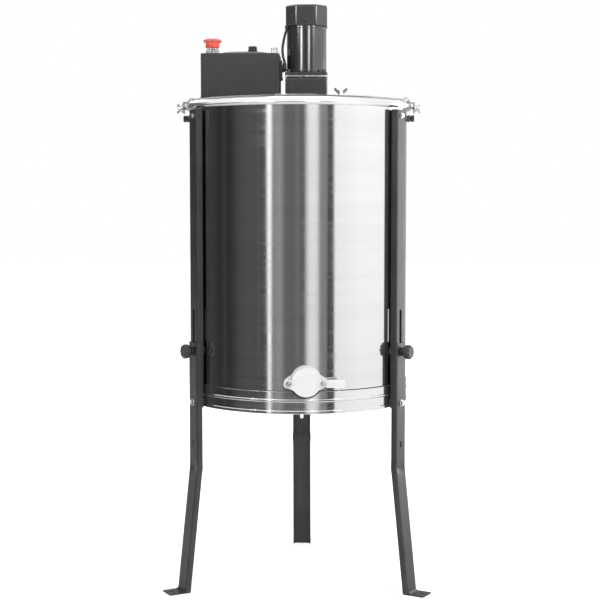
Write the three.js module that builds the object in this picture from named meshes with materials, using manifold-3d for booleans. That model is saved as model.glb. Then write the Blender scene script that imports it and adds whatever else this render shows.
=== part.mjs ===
// Electric honey extractor: a stainless barrel on three adjustable bent-channel legs, a geared motor
// and a control box on a crossbar, clear hinged lids, a three-frame spinning cage and a honey gate.
// Millimetres, +Z up, the gate towards -Y. Everything is laid out around the barrel's axis; the whole
// group is then moved so that the frame origin is under the centre of the bounding box, on the floor.

import * as THREE from 'three';
import { mergeVertices } from 'three/addons/utils/BufferGeometryUtils.js';
import Module from 'manifold-3d';

const wasm = await Module();
wasm.setup();

// ---------------------------------------------------------------- driving dimensions

const GAP = 0.3;

const BARREL_R = 222;
const BARREL_WALL = 1.5;
const BASE_Z = 376;
const SEAM_Z = 420;
const FLOOR_Z = 418;
const RIM_Z = 986;
const RIM_BEAD_H = 15;
const RIM_R = 232;
const ROUND = 64;

const LEG_AZIMUTHS = { left: -60, right: 60, back: 180 };
const LEG_OUTER = 241;
const LEG_HALF_WIDTH = 19.5;
const LEG_FLANGE = 12;
const LEG_TOP = 504.5;
const LEG_BEND_Z = LEG_TOP / 2;
const LEG_FLOOR_OUTER = 269;
const SHEET = 2;
const FOOT_TIP = 302;
const FOOT_THICKNESS = 2.5;
const FOOT_HOLE_AT = 291;
const LEG_TRAVEL = 80;

const RAIL_INNER = 225.2;
const RAIL_OUTER = LEG_OUTER - SHEET - 0.4;
const RAIL_HALF_WIDTH = 17;
const RAIL_BOTTOM = 374;
const RAIL_TOP = 967;
const KNOB_Z = 487;
const BOLT_Z = 384;
const SPARE_SLOT_Z = 300;
const KNOB_R = 14;
const KNOB_OUTER = 263.5;

const CROSSBAR_HALF = 52;
const CROSSBAR_T = 2.7;
const CROSSBAR_TOP = RIM_Z + GAP + CROSSBAR_T;
const STRAP_X = 236;
const STRAP_HALF = 22;
const CLAMP_Z = 976;

const LID_R = 229;
const LID_T = 3;
const LID_EDGE = 54;
const HINGE_Y = 53;
const HINGE_Z = 992.2;
const KNUCKLE_R = 2.4;

const BOX = { x0: -197, x1: -38, half: 47.5, z0: CROSSBAR_TOP + GAP, z1: 1085, wall: 2 };
const ESTOP_X = -177;
const SPEED_X = -94.4;
const START_X = -50;

const MOTOR_X = 16.5;
const MOTOR_R = 41;
const MOUNT_PLATE_T = 3;
const GEARBOX = { half: 42.5, z0: CROSSBAR_TOP + MOUNT_PLATE_T + 2 * GAP, z1: 1037, wall: 4.5 };
const FLANGE_HALF = 43;
const FLANGE_Z = 1041;
const MOTOR_Z = 1047;
const FAN_Z = 1141;
const TOP_Z = 1183;
const GEAR_MODULE = 1;
const GEAR_TEETH = 24;
const PINION_TEETH = 9;

const SHAFT_R = 8;
const SHAFT_Z0 = 440;
const SHAFT_Z1 = 961;
const POCKET = { inner: 106, outer: 151, half: 120, border: 5.5 };
const CAGE_Z0 = 449;
const CAGE_Z1 = 941;
const SPIDER_T = 6;

const GATE_AZIMUTH = 5.25;
const GATE_Z = 439.5;
const GATE_SCREW_Z = 436.6;
const GATE_BORE = 16;
const GATE_TUBE = 19;
const GATE_SCREWS = 33.6;
const GATE_FLANGE = [224.8, 230.8];
const GATE_PLATE = [231.1, 236.1];

// ---------------------------------------------------------------- geometry helpers

function toSolid(geometry) {
  const bare = geometry.clone();
  bare.deleteAttribute('normal');
  bare.deleteAttribute('uv');
  const merged = mergeVertices(bare, 1e-4);
  return new wasm.Manifold(new wasm.Mesh({
    numProp: 3,
    vertProperties: new Float32Array(merged.attributes.position.array),
    triVerts: new Uint32Array(merged.index.array),
  }));
}

function toGeometry(solid) {
  const mesh = solid.getMesh();
  const geometry = new THREE.BufferGeometry();
  geometry.setAttribute('position', new THREE.BufferAttribute(mesh.vertProperties, 3));
  geometry.setIndex(new THREE.BufferAttribute(mesh.triVerts, 1));
  geometry.computeVertexNormals();
  return geometry;
}

const join = (...pieces) => toGeometry(pieces.map(toSolid).reduce((sum, piece) => sum.add(piece)));

const cut = (base, ...tools) =>
  toGeometry(tools.map(toSolid).reduce((rest, tool) => rest.subtract(tool), toSolid(base)));

const common = (a, b) => toGeometry(toSolid(a).intersect(toSolid(b)));

const radians = THREE.MathUtils.degToRad;

// A block given by its limits on each axis.
function block(x0, x1, y0, y1, z0, z1) {
  const geometry = new THREE.BoxGeometry(x1 - x0, y1 - y0, z1 - z0);
  return geometry.translate((x0 + x1) / 2, (y0 + y1) / 2, (z0 + z1) / 2);
}

// An upright round bar.
function rod(radius, z0, z1, x = 0, y = 0, sides = 24) {
  const geometry = new THREE.CylinderGeometry(radius, radius, z1 - z0, sides);
  return geometry.rotateX(Math.PI / 2).translate(x, y, (z0 + z1) / 2);
}

// A round bar along X.
function rodX(radius, x0, x1, y, z, sides = 20) {
  const geometry = new THREE.CylinderGeometry(radius, radius, x1 - x0, sides);
  return geometry.rotateZ(Math.PI / 2).translate((x0 + x1) / 2, y, z);
}

// A turned piece about Z from [radius, height] points listed anticlockwise in the radius-height plane.
function turned(profile, sides = 32) {
  const points = profile.map(([radius, height]) => new THREE.Vector2(radius, height));
  return new THREE.LatheGeometry(points, sides).rotateX(Math.PI / 2);
}

// The same for a ring, whose profile closes on itself.
const turnedRing = (profile, sides = 32) => turned([...profile, profile[0]], sides);

function tube(inner, outer, z0, z1, sides = 32) {
  return turnedRing([[inner, z0], [outer, z0], [outer, z1], [inner, z1]], sides);
}

function outline(points) {
  return new THREE.Shape(points.map(([x, y]) => new THREE.Vector2(x, y)));
}

function raise(shape, z0, z1, steps = 1) {
  const geometry = new THREE.ExtrudeGeometry(shape, { depth: z1 - z0, steps, bevelEnabled: false });
  return geometry.translate(0, 0, z0);
}

// An upright round-ended slot cutter along X.
function slotX(halfWidth, z0, z1, x0, x1) {
  const reach = [z0 + halfWidth, z1 - halfWidth];
  const middle = block(x0, x1, -halfWidth, halfWidth, ...reach);
  return join(middle, ...reach.map((z) => rodX(halfWidth, x0, x1, 0, z, 16)));
}

// A channel section with its web outside and its flanges pointing to the barrel's axis.
function channel(halfWidth, inner, outer) {
  return outline([
    [outer, -halfWidth], [outer, halfWidth], [inner, halfWidth], [inner, halfWidth - SHEET],
    [outer - SHEET, halfWidth - SHEET], [outer - SHEET, SHEET - halfWidth],
    [inner, SHEET - halfWidth], [inner, -halfWidth],
  ]);
}

// A knob outline with shallow rounded flutes.
function fluted(radius, flutes, depth) {
  const count = flutes * 4;
  const points = Array.from({ length: count }, (_, i) => {
    const angle = (2 * Math.PI * i) / count;
    const reach = radius - depth / 2 + (depth / 2) * Math.cos(flutes * angle);
    return [reach * Math.cos(angle), reach * Math.sin(angle)];
  });
  return outline(points);
}

// A spur gear outline with straight-sided teeth, the first tooth on +X.
function gear(teeth) {
  const pitch = (GEAR_MODULE * teeth) / 2;
  const levels = [
    [pitch - 1.2 * GEAR_MODULE, -0.85], [pitch, -0.6], [pitch + 0.85 * GEAR_MODULE, -0.25],
    [pitch + 0.85 * GEAR_MODULE, 0.25], [pitch, 0.6], [pitch - 1.2 * GEAR_MODULE, 0.85],
  ];
  const points = [];
  for (let i = 0; i < teeth; i += 1) {
    const turn = (2 * Math.PI * i) / teeth;
    for (const [reach, across] of levels) {
      const angle = turn + Math.asin((across * GEAR_MODULE) / reach);
      points.push([reach * Math.cos(angle), reach * Math.sin(angle)]);
    }
  }
  return outline(points);
}

// ---------------------------------------------------------------- materials and assembly

const finish = (color, roughness, metalness, opacity = 1) =>
  ({ color, roughness, metalness, opacity, transparent: opacity < 1 });

const STEEL = finish(0xc9cbcc, 0.16, 1);
const DARK_PAINT = finish(0x37383a, 0.45, 0.2);
const BLACK_PAINT = finish(0x202122, 0.3, 0.2);
const BLACK_PLASTIC = finish(0x141414, 0.5, 0);
const WHITE_PLASTIC = finish(0xf1f1ee, 0.4, 0);
const RED_PLASTIC = finish(0xc3161c, 0.35, 0);
const CLEAR_ACRYLIC = finish(0xf4f8fa, 0.05, 0, 0.3);
const ALUMINIUM = finish(0xb9bcbe, 0.35, 1);
const COPPER_RED = finish(0x8a4a2c, 0.5, 0.6);
const BOARD_GREEN = finish(0x1d5a36, 0.6, 0);

const extractor = new THREE.Group();

function add(name, geometry, look, turnDegrees = 0, x = 0) {
  const mesh = new THREE.Mesh(geometry, new THREE.MeshStandardMaterial(look));
  mesh.name = name;
  mesh.rotation.z = radians(turnDegrees);
  mesh.position.x = x;
  extractor.add(mesh);
}

// A piece modelled with +X pointing away from the barrel, set at an azimuth counted from -Y to +X.
const addRadial = (name, geometry, look, azimuth) => add(name, geometry, look, azimuth - 90);

// ---------------------------------------------------------------- barrel

function makeBarrel() {
  const inner = BARREL_R - BARREL_WALL;
  const gateHole = rodX(GATE_TUBE + 0.4, inner - 10, BARREL_R + 10, 0, GATE_Z).rotateZ(radians(GATE_AZIMUTH - 90));
  add('barrel_shell', cut(tube(inner, BARREL_R, BASE_Z + 2, RIM_Z - 0.6, ROUND), gateHole), STEEL);

  add('barrel_floor', rod(inner - GAP, FLOOR_Z - SHEET, FLOOR_Z, 0, 0, 48), STEEL);

  const hoop = BARREL_R + GAP;
  add('base_hoop', turnedRing([
    [hoop, BASE_Z], [225, BASE_Z], [224, BASE_Z + 6], [225, 403], [224, 405], [224, SEAM_Z], [hoop, SEAM_Z],
  ], ROUND), STEEL);

  const bead = RIM_Z - RIM_BEAD_H;
  add('rim_ring', turnedRing([
    [hoop, bead], [RIM_R - 3, bead], [RIM_R, bead + 5], [RIM_R, RIM_Z - 5], [RIM_R - 3, RIM_Z], [hoop, RIM_Z],
  ], ROUND), STEEL);
}

// ---------------------------------------------------------------- legs

function legGeometry() {
  const bar = raise(channel(LEG_HALF_WIDTH, LEG_OUTER - LEG_FLANGE, LEG_OUTER), 0, LEG_TOP, 2);
  const position = bar.attributes.position;
  const splay = (LEG_FLOOR_OUTER - LEG_OUTER) / LEG_BEND_Z;
  for (let i = 0; i < position.count; i += 1) {
    const drop = Math.max(0, LEG_BEND_Z - position.getZ(i));
    position.setX(i, position.getX(i) + drop * splay);
  }
  const foot = block(LEG_FLOOR_OUTER - 1, FOOT_TIP, -LEG_HALF_WIDTH, LEG_HALF_WIDTH, 0, FOOT_THICKNESS);
  const web = [LEG_OUTER - LEG_FLANGE, LEG_OUTER + 10];
  return cut(
    join(bar, foot),
    rod(4.25, -5, 10, FOOT_HOLE_AT, 0, 16),
    rodX(4.3, ...web, 0, KNOB_Z, 16),
    rodX(3.4, ...web, 0, BOLT_Z, 16),
    slotX(3.5, SPARE_SLOT_Z - 6.5, SPARE_SLOT_Z + 6.5, ...web),
  );
}

function railGeometry() {
  const bar = raise(channel(RAIL_HALF_WIDTH, RAIL_INNER, RAIL_OUTER), RAIL_BOTTOM, RAIL_TOP);
  const web = [RAIL_INNER, RAIL_OUTER + 5];
  return cut(
    bar,
    slotX(4.5, BOLT_Z - 4.5, BOLT_Z + LEG_TRAVEL + 4.5, ...web),
    slotX(4.5, KNOB_Z - 4.5, KNOB_Z + LEG_TRAVEL + 4.5, ...web),
  );
}

// Clamping knob with its screw and the round nut that runs behind the rail's web.
function knobGeometry() {
  const head = raise(fluted(KNOB_R, 8, 1.6), 249.5, KNOB_OUTER).rotateY(Math.PI / 2).translate(0, 0, KNOB_Z);
  return join(
    head,
    rodX(9, LEG_OUTER + 0.4, 250, 0, KNOB_Z),
    rodX(3, 229, 245, 0, KNOB_Z, 12),
    rodX(6.5, 230, RAIL_OUTER - SHEET - 0.4, 0, KNOB_Z, 16),
  );
}

function makeLegs() {
  for (const [side, azimuth] of Object.entries(LEG_AZIMUTHS)) {
    addRadial(`leg_rail_${side}`, railGeometry(), DARK_PAINT, azimuth);
    addRadial(`leg_${side}`, legGeometry(), DARK_PAINT, azimuth);
    addRadial(`leg_knob_${side}`, knobGeometry(), BLACK_PLASTIC, azimuth);
  }
}

// ---------------------------------------------------------------- crossbar, clamps and lids

function clampStrap(direction) {
  const top = block(190, STRAP_X + SHEET, -STRAP_HALF, STRAP_HALF, RIM_Z + GAP, CROSSBAR_TOP);
  const drop = block(STRAP_X, STRAP_X + SHEET, -STRAP_HALF, STRAP_HALF, CLAMP_Z - 10, CROSSBAR_TOP);
  const boss = rodX(7, STRAP_X + 1, 242.5, 0, CLAMP_Z);
  const arch = new THREE.Shape();
  arch.absarc(0, 0, 8.5, 0, Math.PI, false);
  arch.absarc(0, 0, 5.5, Math.PI, 0, true);
  arch.closePath();
  const loop = new THREE.ExtrudeGeometry(arch, { depth: 3, bevelEnabled: false, curveSegments: 8 })
    .translate(0, 0, -1.5).rotateX(Math.PI / 2).translate(220.5, 0, CROSSBAR_TOP - 0.4);
  const strap = cut(join(top, drop, boss, loop), rodX(3.6, 230, 250, 0, CLAMP_Z, 16));
  return strap.rotateZ(direction > 0 ? 0 : Math.PI);
}

function makeCrossbar() {
  const half = CROSSBAR_HALF;
  const plate = common(
    block(-RIM_R, RIM_R, -half, half, RIM_Z + GAP, CROSSBAR_TOP),
    rod(RIM_R - 2, RIM_Z - 5, CROSSBAR_TOP + 5, 0, 0, ROUND),
  );
  const webs = [-1, 1].map((side) =>
    block(-200, 200, side * half - (side > 0 ? 2.5 : 0), side * half + (side > 0 ? 0 : 2.5), 950, CROSSBAR_TOP));
  add('crossbar', cut(
    join(plate, ...webs, clampStrap(1), clampStrap(-1)),
    rod(16, RIM_Z - 5, CROSSBAR_TOP + 5),
  ), STEEL);

  const lug = () => raise(outline([[222.6, -9], [243, -9], [243, 9], [222.6, 9]]), 948, 962);
  const screw = () => join(
    rodX(3, RIM_R + 0.5, 246, 0, CLAMP_Z, 16),
    rodX(5, 243.2, 249, 0, CLAMP_Z, 16),
    block(245, 251, -1.5, 1.5, CLAMP_Z - 10, CLAMP_Z + 10),
  );
  for (const [side, azimuth] of [['left', -90], ['right', 90]]) {
    addRadial(`rim_lug_${side}`, lug(), DARK_PAINT, azimuth);
    addRadial(`clamp_screw_${side}`, screw(), STEEL, azimuth);
  }
}

// Three fixed knuckles, two moving ones between them.
const FIXED_KNUCKLES = [[-60, -37], [-12, 12], [37, 60]];
const LID_KNUCKLES = [[-36.4, -12.6], [12.6, 36.4]];

function knuckle([x0, x1], sides = 14) {
  return rodX(KNUCKLE_R, x0, x1, -HINGE_Y, HINGE_Z, sides);
}

function lidGeometry() {
  const edge = Math.asin(LID_EDGE / LID_R);
  const half = new THREE.Shape();
  half.absarc(0, 0, LID_R, Math.PI + edge, 2 * Math.PI - edge, false);
  half.closePath();
  const base = RIM_Z + GAP;
  const plate = new THREE.ExtrudeGeometry(half, { depth: LID_T, bevelEnabled: false, curveSegments: 28 });
  const grip = block(-40, 40, -212, -206, base + 1, base + LID_T + 2.2);
  return join(plate.translate(0, 0, base), grip);
}

function lidLeafGeometry() {
  const base = RIM_Z + GAP + LID_T + GAP;
  const plate = block(-60, 60, -68, -HINGE_Y - 3.2, base, base + 1.8);
  const arms = LID_KNUCKLES.map(([x0, x1]) => block(x0, x1, -HINGE_Y - 4, -HINGE_Y, base, base + 1.8));
  const bore = rodX(1.5, -70, 70, -HINGE_Y, HINGE_Z, 12);
  return cut(join(plate, ...arms, ...LID_KNUCKLES.map((span) => knuckle(span))), bore);
}

function crossbarLeafGeometry() {
  const base = CROSSBAR_TOP + GAP;
  const plate = block(-60, 60, -50.3, -BOX.half - 0.7, base, base + 2.2);
  const arms = FIXED_KNUCKLES.map(([x0, x1]) => block(x0, x1, -HINGE_Y, -50, base, base + 2.2));
  const pin = rodX(1, -60, 60, -HINGE_Y, HINGE_Z, 10);
  return join(plate, ...arms, pin, ...FIXED_KNUCKLES.map((span) => knuckle(span)));
}

function makeLids() {
  for (const [side, turn] of [['front', 0], ['rear', 180]]) {
    add(`lid_${side}`, lidGeometry(), CLEAR_ACRYLIC, turn);
    add(`lid_leaf_${side}`, lidLeafGeometry(), STEEL, turn);
    add(`crossbar_leaf_${side}`, crossbarLeafGeometry(), STEEL, turn);
  }
}

// ---------------------------------------------------------------- control box

function makeControls() {
  const { x0, x1, half, z0, z1, wall } = BOX;
  const glandY = -25;
  const glandZ = 1055;
  add('control_box', cut(
    block(x0, x1, -half, half, z0, z1),
    block(x0 + wall, x1 - wall, wall - half, half - wall, z0 - 5, z1 - wall),
    rod(7.4, z1 - 10, z1 + 5, ESTOP_X),
    rod(4, z1 - 10, z1 + 5, SPEED_X, 0, 16),
    rod(4.2, z1 - 10, z1 + 5, START_X, 0, 16),
    rodX(4, x1 - 8, x1 + 5, glandY, glandZ, 16),
  ), DARK_PAINT);

  const board = block(x0 + 15, x1 - 15, -34, 34, z0 + 12, z0 + 14);
  const chips = [[-165, -135, 30], [-125, -95, 22], [-85, -62, 38]].map(([a, b, tall]) =>
    block(a, b, -20, 18, z0 + 13, z0 + 14 + tall));
  const posts = [[-175, -28], [-175, 28], [-60, -28], [-60, 28]].map(([x, y]) =>
    rod(3, z0 + 0.2, z0 + 13, x, y, 10));
  add('driver_board', join(board, ...chips, ...posts), BOARD_GREEN);

  const face = new THREE.Shape();
  face.moveTo(-158 + 4, -34);
  face.lineTo(-60 - 4, -34);
  face.absarc(-64, -30, 4, -Math.PI / 2, 0, false);
  face.absarc(-64, 26, 4, 0, Math.PI / 2, false);
  face.absarc(-154, 26, 4, Math.PI / 2, Math.PI, false);
  face.absarc(-154, -30, 4, Math.PI, 1.5 * Math.PI, false);
  const panel = new THREE.ExtrudeGeometry(face, {
    depth: 4.5, curveSegments: 4, bevelThickness: 1, bevelSize: 1, bevelOffset: -1, bevelSegments: 1,
  });
  add('control_panel', cut(
    panel.translate(0, 0, z1 + GAP + 1),
    rod(3.6, z1 - 5, z1 + 15, SPEED_X, 0, 16),
  ), DARK_PAINT);

  add('estop_collar', tube(7.3, 11.5, z1 + GAP, 1103, 28), ALUMINIUM, 0, ESTOP_X);
  add('estop_head', turned([
    [0, 1079], [6.4, 1079], [6.4, 1108], [12.1, 1108], [12.1, 1099.6], [14.2, 1099.6],
    [14.2, 1111.6], [18, 1112], [19, 1113.5], [18.4, 1115.6], [12, 1117.4], [0, 1118],
  ], 28), RED_PLASTIC, 0, ESTOP_X);

  add('speed_knob', join(
    raise(fluted(9.4, 12, 0.8), z1 + 7.4, 1102.4),
    rod(3, 1078, z1 + 8, 0, 0, 12),
  ), BLACK_PLASTIC, 0, SPEED_X);

  add('start_button', turned([
    [0, 1076], [3.6, 1076], [3.6, 1088.2], [6.4, 1088.2], [6.4, 1099], [5.6, 1099.8], [0, 1099.8],
  ], 24), STEEL, 0, START_X);

  add('socket_plate', cut(
    block(x1 + GAP, x1 + 5.5, glandY - 14, glandY + 14, 1031, 1071),
    rodX(4, x1 - 5, x1 + 10, glandY, glandZ, 16),
  ), BLACK_PLASTIC);
  add('cable_gland', join(
    rodX(7.3, x1 + 5.8, -23.6, glandY, glandZ),
    rod(4.2, glandZ, 1064, -27.8, glandY, 16),
  ), BLACK_PLASTIC);
  add('mains_inlet', cut(
    block(-150, -100, half + GAP, half + 6, 1008, 1042),
    block(-143, -107, half + 2.5, half + 10, 1014, 1036),
  ), BLACK_PLASTIC);
}

function makeMotorCable() {
  const route = new THREE.CatmullRomCurve3([
    new THREE.Vector3(-27.8, -25, 1064.5),
    new THREE.Vector3(-28.1, -25, 1070),
    new THREE.Vector3(-31, -24.5, 1080),
    new THREE.Vector3(-32, -22.5, 1098),
    new THREE.Vector3(-27.6, -20.5, 1122),
    new THREE.Vector3(-23.5, -19.5, FAN_Z - 6),
    new THREE.Vector3(-23.2, -19.5, FAN_Z - 0.5),
  ]);
  const section = new THREE.Shape();
  section.absarc(0, 0, 2.6, 0, 2 * Math.PI, false);
  const cable = new THREE.ExtrudeGeometry(section, {
    extrudePath: route, steps: 14, curveSegments: 4, bevelEnabled: false,
  });
  add('motor_cable', cable, BLACK_PLASTIC);
}

// ---------------------------------------------------------------- motor and gearbox

function octagon(half, flat) {
  const corners = [[half, flat], [flat, half], [-flat, half], [-half, flat]];
  const lower = corners.map(([x, y]) => [-x, -y]);
  return outline([...corners, ...lower]);
}

function makeMotor() {
  const coverHeight = TOP_Z - FAN_Z;
  const bevel = 4;
  const cover = new THREE.ExtrudeGeometry(octagon(42, 20.6), {
    depth: coverHeight, bevelThickness: bevel, bevelSize: bevel, bevelOffset: -bevel, bevelSegments: 3,
  }).translate(0, 0, FAN_Z - bevel);
  const vents = Array.from({ length: 8 }, (_, i) => {
    const angle = (Math.PI * i) / 4;
    return rod(4, TOP_Z - 10, TOP_Z + 5, 22 * Math.cos(angle), 22 * Math.sin(angle), 12);
  });
  add('fan_cover', cut(
    cover,
    block(-60, 60, -60, 60, FAN_Z - 20, FAN_Z),
    raise(octagon(39.5, 19.4), FAN_Z - 5, TOP_Z - 4),
    ...vents,
  ), BLACK_PAINT, 0, MOTOR_X);

  const can = MOTOR_R - 3;
  add('motor_body', turnedRing([
    [5, MOTOR_Z + GAP], [MOTOR_R, MOTOR_Z + GAP], [MOTOR_R, FAN_Z - GAP], [5, FAN_Z - GAP],
    [5, 1136], [can, 1136], [can, 1051], [5, 1051],
  ], 40), BLACK_PAINT, 0, MOTOR_X);

  const square = (half, z0, z1, bore) => cut(block(-half, half, -half, half, z0, z1), rod(bore, z0 - 5, z1 + 5));
  add('motor_flange', square(FLANGE_HALF, FLANGE_Z, MOTOR_Z, 10), BLACK_PAINT, 0, MOTOR_X);
  add('gearbox_plate', square(FLANGE_HALF - 0.5, GEARBOX.z1 + GAP, FLANGE_Z - GAP, 7), ALUMINIUM, 0, MOTOR_X);

  const { half, z0, z1, wall } = GEARBOX;
  add('gearbox_housing', cut(
    block(-half, half, -half, half, z0, z1),
    block(wall - half, half - wall, wall - half, half - wall, z0 + wall, z1 + 5),
    rod(7.5, z0 - 5, z1, -MOTOR_X),
  ), BLACK_PAINT, 0, MOTOR_X);

  const blades = Array.from({ length: 6 }, (_, i) =>
    block(8, 32, -1, 1, 1148, 1162).rotateZ((Math.PI * i) / 3));
  add('motor_armature', join(
    rod(3, 1015, 1168, 0, 0, 16),
    rod(31, 1060, 1127),
    raise(gear(PINION_TEETH), 1013, 1034),
    rod(10, 1147, 1163, 0, 0, 16),
    ...blades,
  ), COPPER_RED, 0, MOTOR_X);

  add('output_gear', join(
    raise(gear(GEAR_TEETH), 1014, 1030),
    rod(6, SHAFT_Z1 + 2, 1035, 0, 0, 20),
  ), STEEL);

  const plateZ = [CROSSBAR_TOP + GAP, CROSSBAR_TOP + GAP + MOUNT_PLATE_T];
  const studX = 87;
  add('motor_plate', join(
    cut(block(-29, 104, -46, 46, ...plateZ), rod(9, plateZ[0] - 5, plateZ[1] + 5)),
    rod(3, plateZ[1] - 1, 1010, studX, 0, 16),
  ), STEEL);
  const ear = raise(outline([[3, 1004], [9, 1007], [14, 1013], [13, 1019], [7, 1014.5], [3, 1012]]), -1.4, 1.4)
    .rotateX(Math.PI / 2);
  add('wing_nut', cut(
    join(rod(6, plateZ[1] + GAP, 1012, 0, 0, 20), ear, ear.clone().rotateZ(Math.PI)),
    rod(3.3, plateZ[1] - 5, 1020, 0, 0, 16),
  ), STEEL, 0, studX);
}

// ---------------------------------------------------------------- spinning cage

function spider(z0, floorBars) {
  const z1 = z0 + SPIDER_T;
  const { inner, outer, half, border } = POCKET;
  const pieces = [rod(20, z0, z1)];
  const openings = [rod(SHAFT_R + 0.4, z0 - 5, z1 + 5)];
  for (let i = 0; i < 3; i += 1) {
    const turn = radians(120 * i - 90);
    const frame = cut(
      block(inner - border, outer + border, -half - border, half + border, z0, z1),
      block(inner, outer, -half, half, z0 - 5, z1 + 5),
    );
    const bars = floorBars ? [-60, 60].map((y) => block(inner - 1, outer + 1, y - 6, y + 6, z0, z1)) : [];
    const arm = block(10, inner - 1, -6, 6, z0, z1);
    pieces.push(join(frame, arm, ...bars).rotateZ(turn));
    pieces.push(block(150, 160, -30, 30, z0, z1).rotateZ(turn + radians(60)));
  }
  return cut(join(...pieces), ...openings);
}

// A pierced screen panel across X.
function screen(x0, x1, z0, z1, columns, rows) {
  const { half } = POCKET;
  const bar = 8;
  const wide = (2 * half - bar * (columns + 1)) / columns;
  const tall = (z1 - z0 - bar * (rows + 1)) / rows;
  const windows = [];
  for (let i = 0; i < columns; i += 1) {
    for (let j = 0; j < rows; j += 1) {
      const y = -half + bar + i * (wide + bar);
      const z = z0 + bar + j * (tall + bar);
      windows.push(block(x0 - 5, x1 + 5, y, y + wide, z, z + tall));
    }
  }
  return cut(block(x0, x1, -half, half, z0, z1), ...windows);
}

function makeCage() {
  add('cage_shaft', rod(SHAFT_R, SHAFT_Z0, SHAFT_Z1), STEEL);
  add('coupling_sleeve', turnedRing([
    [SHAFT_R + 0.4, 944], [13, 944], [13, 981], [6.4, 981], [6.4, SHAFT_Z1 + 0.5],
    [SHAFT_R + 0.4, SHAFT_Z1 + 0.5],
  ], 24), STEEL);
  add('bottom_bearing', turned([
    [0, FLOOR_Z + GAP], [26, FLOOR_Z + GAP], [26, 421], [22, 424], [22, 440], [16, 447.4],
    [8.5, 447.4], [8.5, 439.6], [0, 439.6],
  ], 28), WHITE_PLASTIC);

  add('cage_bottom_spider', spider(CAGE_Z0, true), STEEL);
  add('cage_top_spider', spider(CAGE_Z1 - SPIDER_T, false), STEEL);

  const [z0, z1] = [CAGE_Z0 + SPIDER_T + GAP, CAGE_Z1 - SPIDER_T - GAP];
  ['front', 'right', 'left'].forEach((side, i) => {
    addRadial(`cage_screen_${side}`, screen(151.5, 153.5, z0, z1, 2, 4), STEEL, 120 * i);
  });
  const inner = [];
  for (let i = 0; i < 3; i += 1) {
    const turn = radians(120 * i - 90);
    inner.push(screen(103.5, 105.5, z0, z1, 2, 4).rotateZ(turn));
    for (const z of [z0 + 60, z1 - 60]) {
      inner.push(block(152, 160, -33, 33, z - 3, z + 3).rotateZ(turn + radians(60)));
    }
  }
  add('cage_inner_basket', join(...inner), STEEL);
}

// ---------------------------------------------------------------- honey gate

function makeGate() {
  const ear = 9.5;
  const flange = join(
    rodX(30, ...GATE_FLANGE, 0, GATE_Z + 2, 32),
    block(...GATE_FLANGE, -GATE_SCREWS, GATE_SCREWS, GATE_SCREW_Z + 2 - ear, GATE_SCREW_Z + 2 + ear),
    ...[-1, 1].map((side) => rodX(ear, ...GATE_FLANGE, side * GATE_SCREWS, GATE_SCREW_Z + 2)),
    rodX(GATE_TUBE, 204, 226, 0, GATE_Z, 28),
  );
  const screwHoles = [-1, 1].map((side) => rodX(3.3, 220, 245, side * GATE_SCREWS, GATE_SCREW_Z, 14));
  const bore = rodX(GATE_BORE, 190, 240, 0, GATE_Z, 24);
  addRadial('gate_body', cut(flange, bore, ...screwHoles), WHITE_PLASTIC, GATE_AZIMUTH);

  const reach = 67.5;
  const grip = 7.7;
  const plate = join(
    rodX(28.6, ...GATE_PLATE, 0, GATE_Z, 36),
    block(...GATE_PLATE, -36, reach, GATE_SCREW_Z - grip, GATE_SCREW_Z + grip),
    rodX(grip, ...GATE_PLATE, -36, GATE_SCREW_Z),
    rodX(grip, ...GATE_PLATE, reach, GATE_SCREW_Z),
  );
  const notch = block(228, 240, GATE_SCREWS - 3.6, GATE_SCREWS + 3.6, GATE_SCREW_Z - 20, GATE_SCREW_Z);
  addRadial('gate_plate', cut(
    plate,
    rodX(3.3, 228, 240, -GATE_SCREWS, GATE_SCREW_Z, 14),
    rodX(3.6, 228, 240, GATE_SCREWS, GATE_SCREW_Z, 14),
    notch,
  ), WHITE_PLASTIC, GATE_AZIMUTH);

  const screw = (side) => join(
    rodX(2.9, 226, 238, side * GATE_SCREWS, GATE_SCREW_Z, 12),
    rodX(5.2, GATE_PLATE[1] + 0.4, 240.5, side * GATE_SCREWS, GATE_SCREW_Z, 16),
  );
  addRadial('gate_pivot_screw', screw(-1), STEEL, GATE_AZIMUTH);
  addRadial('gate_clamp_screw', screw(1), STEEL, GATE_AZIMUTH);
}

makeBarrel();
makeLegs();
makeCrossbar();
makeLids();
makeControls();
makeMotorCable();
makeMotor();
makeCage();
makeGate();

extractor.updateMatrixWorld(true);
const middle = new THREE.Box3().setFromObject(extractor, true).getCenter(new THREE.Vector3());
extractor.position.set(0, -middle.y, 0);

export default extractor;
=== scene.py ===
"""Studio scene of an electric honey extractor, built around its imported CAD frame.

The scene is in metres. The makers below work in millimetres around the barrel's axis, with radial
pieces modelled along +X and then turned to their azimuth, which is counted from -Y towards +X.
"""

from math import asin, atan2, cos, exp, pi, radians, sin, sqrt, tan

import bmesh
import bpy
from mathutils import Matrix, Vector
from mathutils import noise as field


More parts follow.
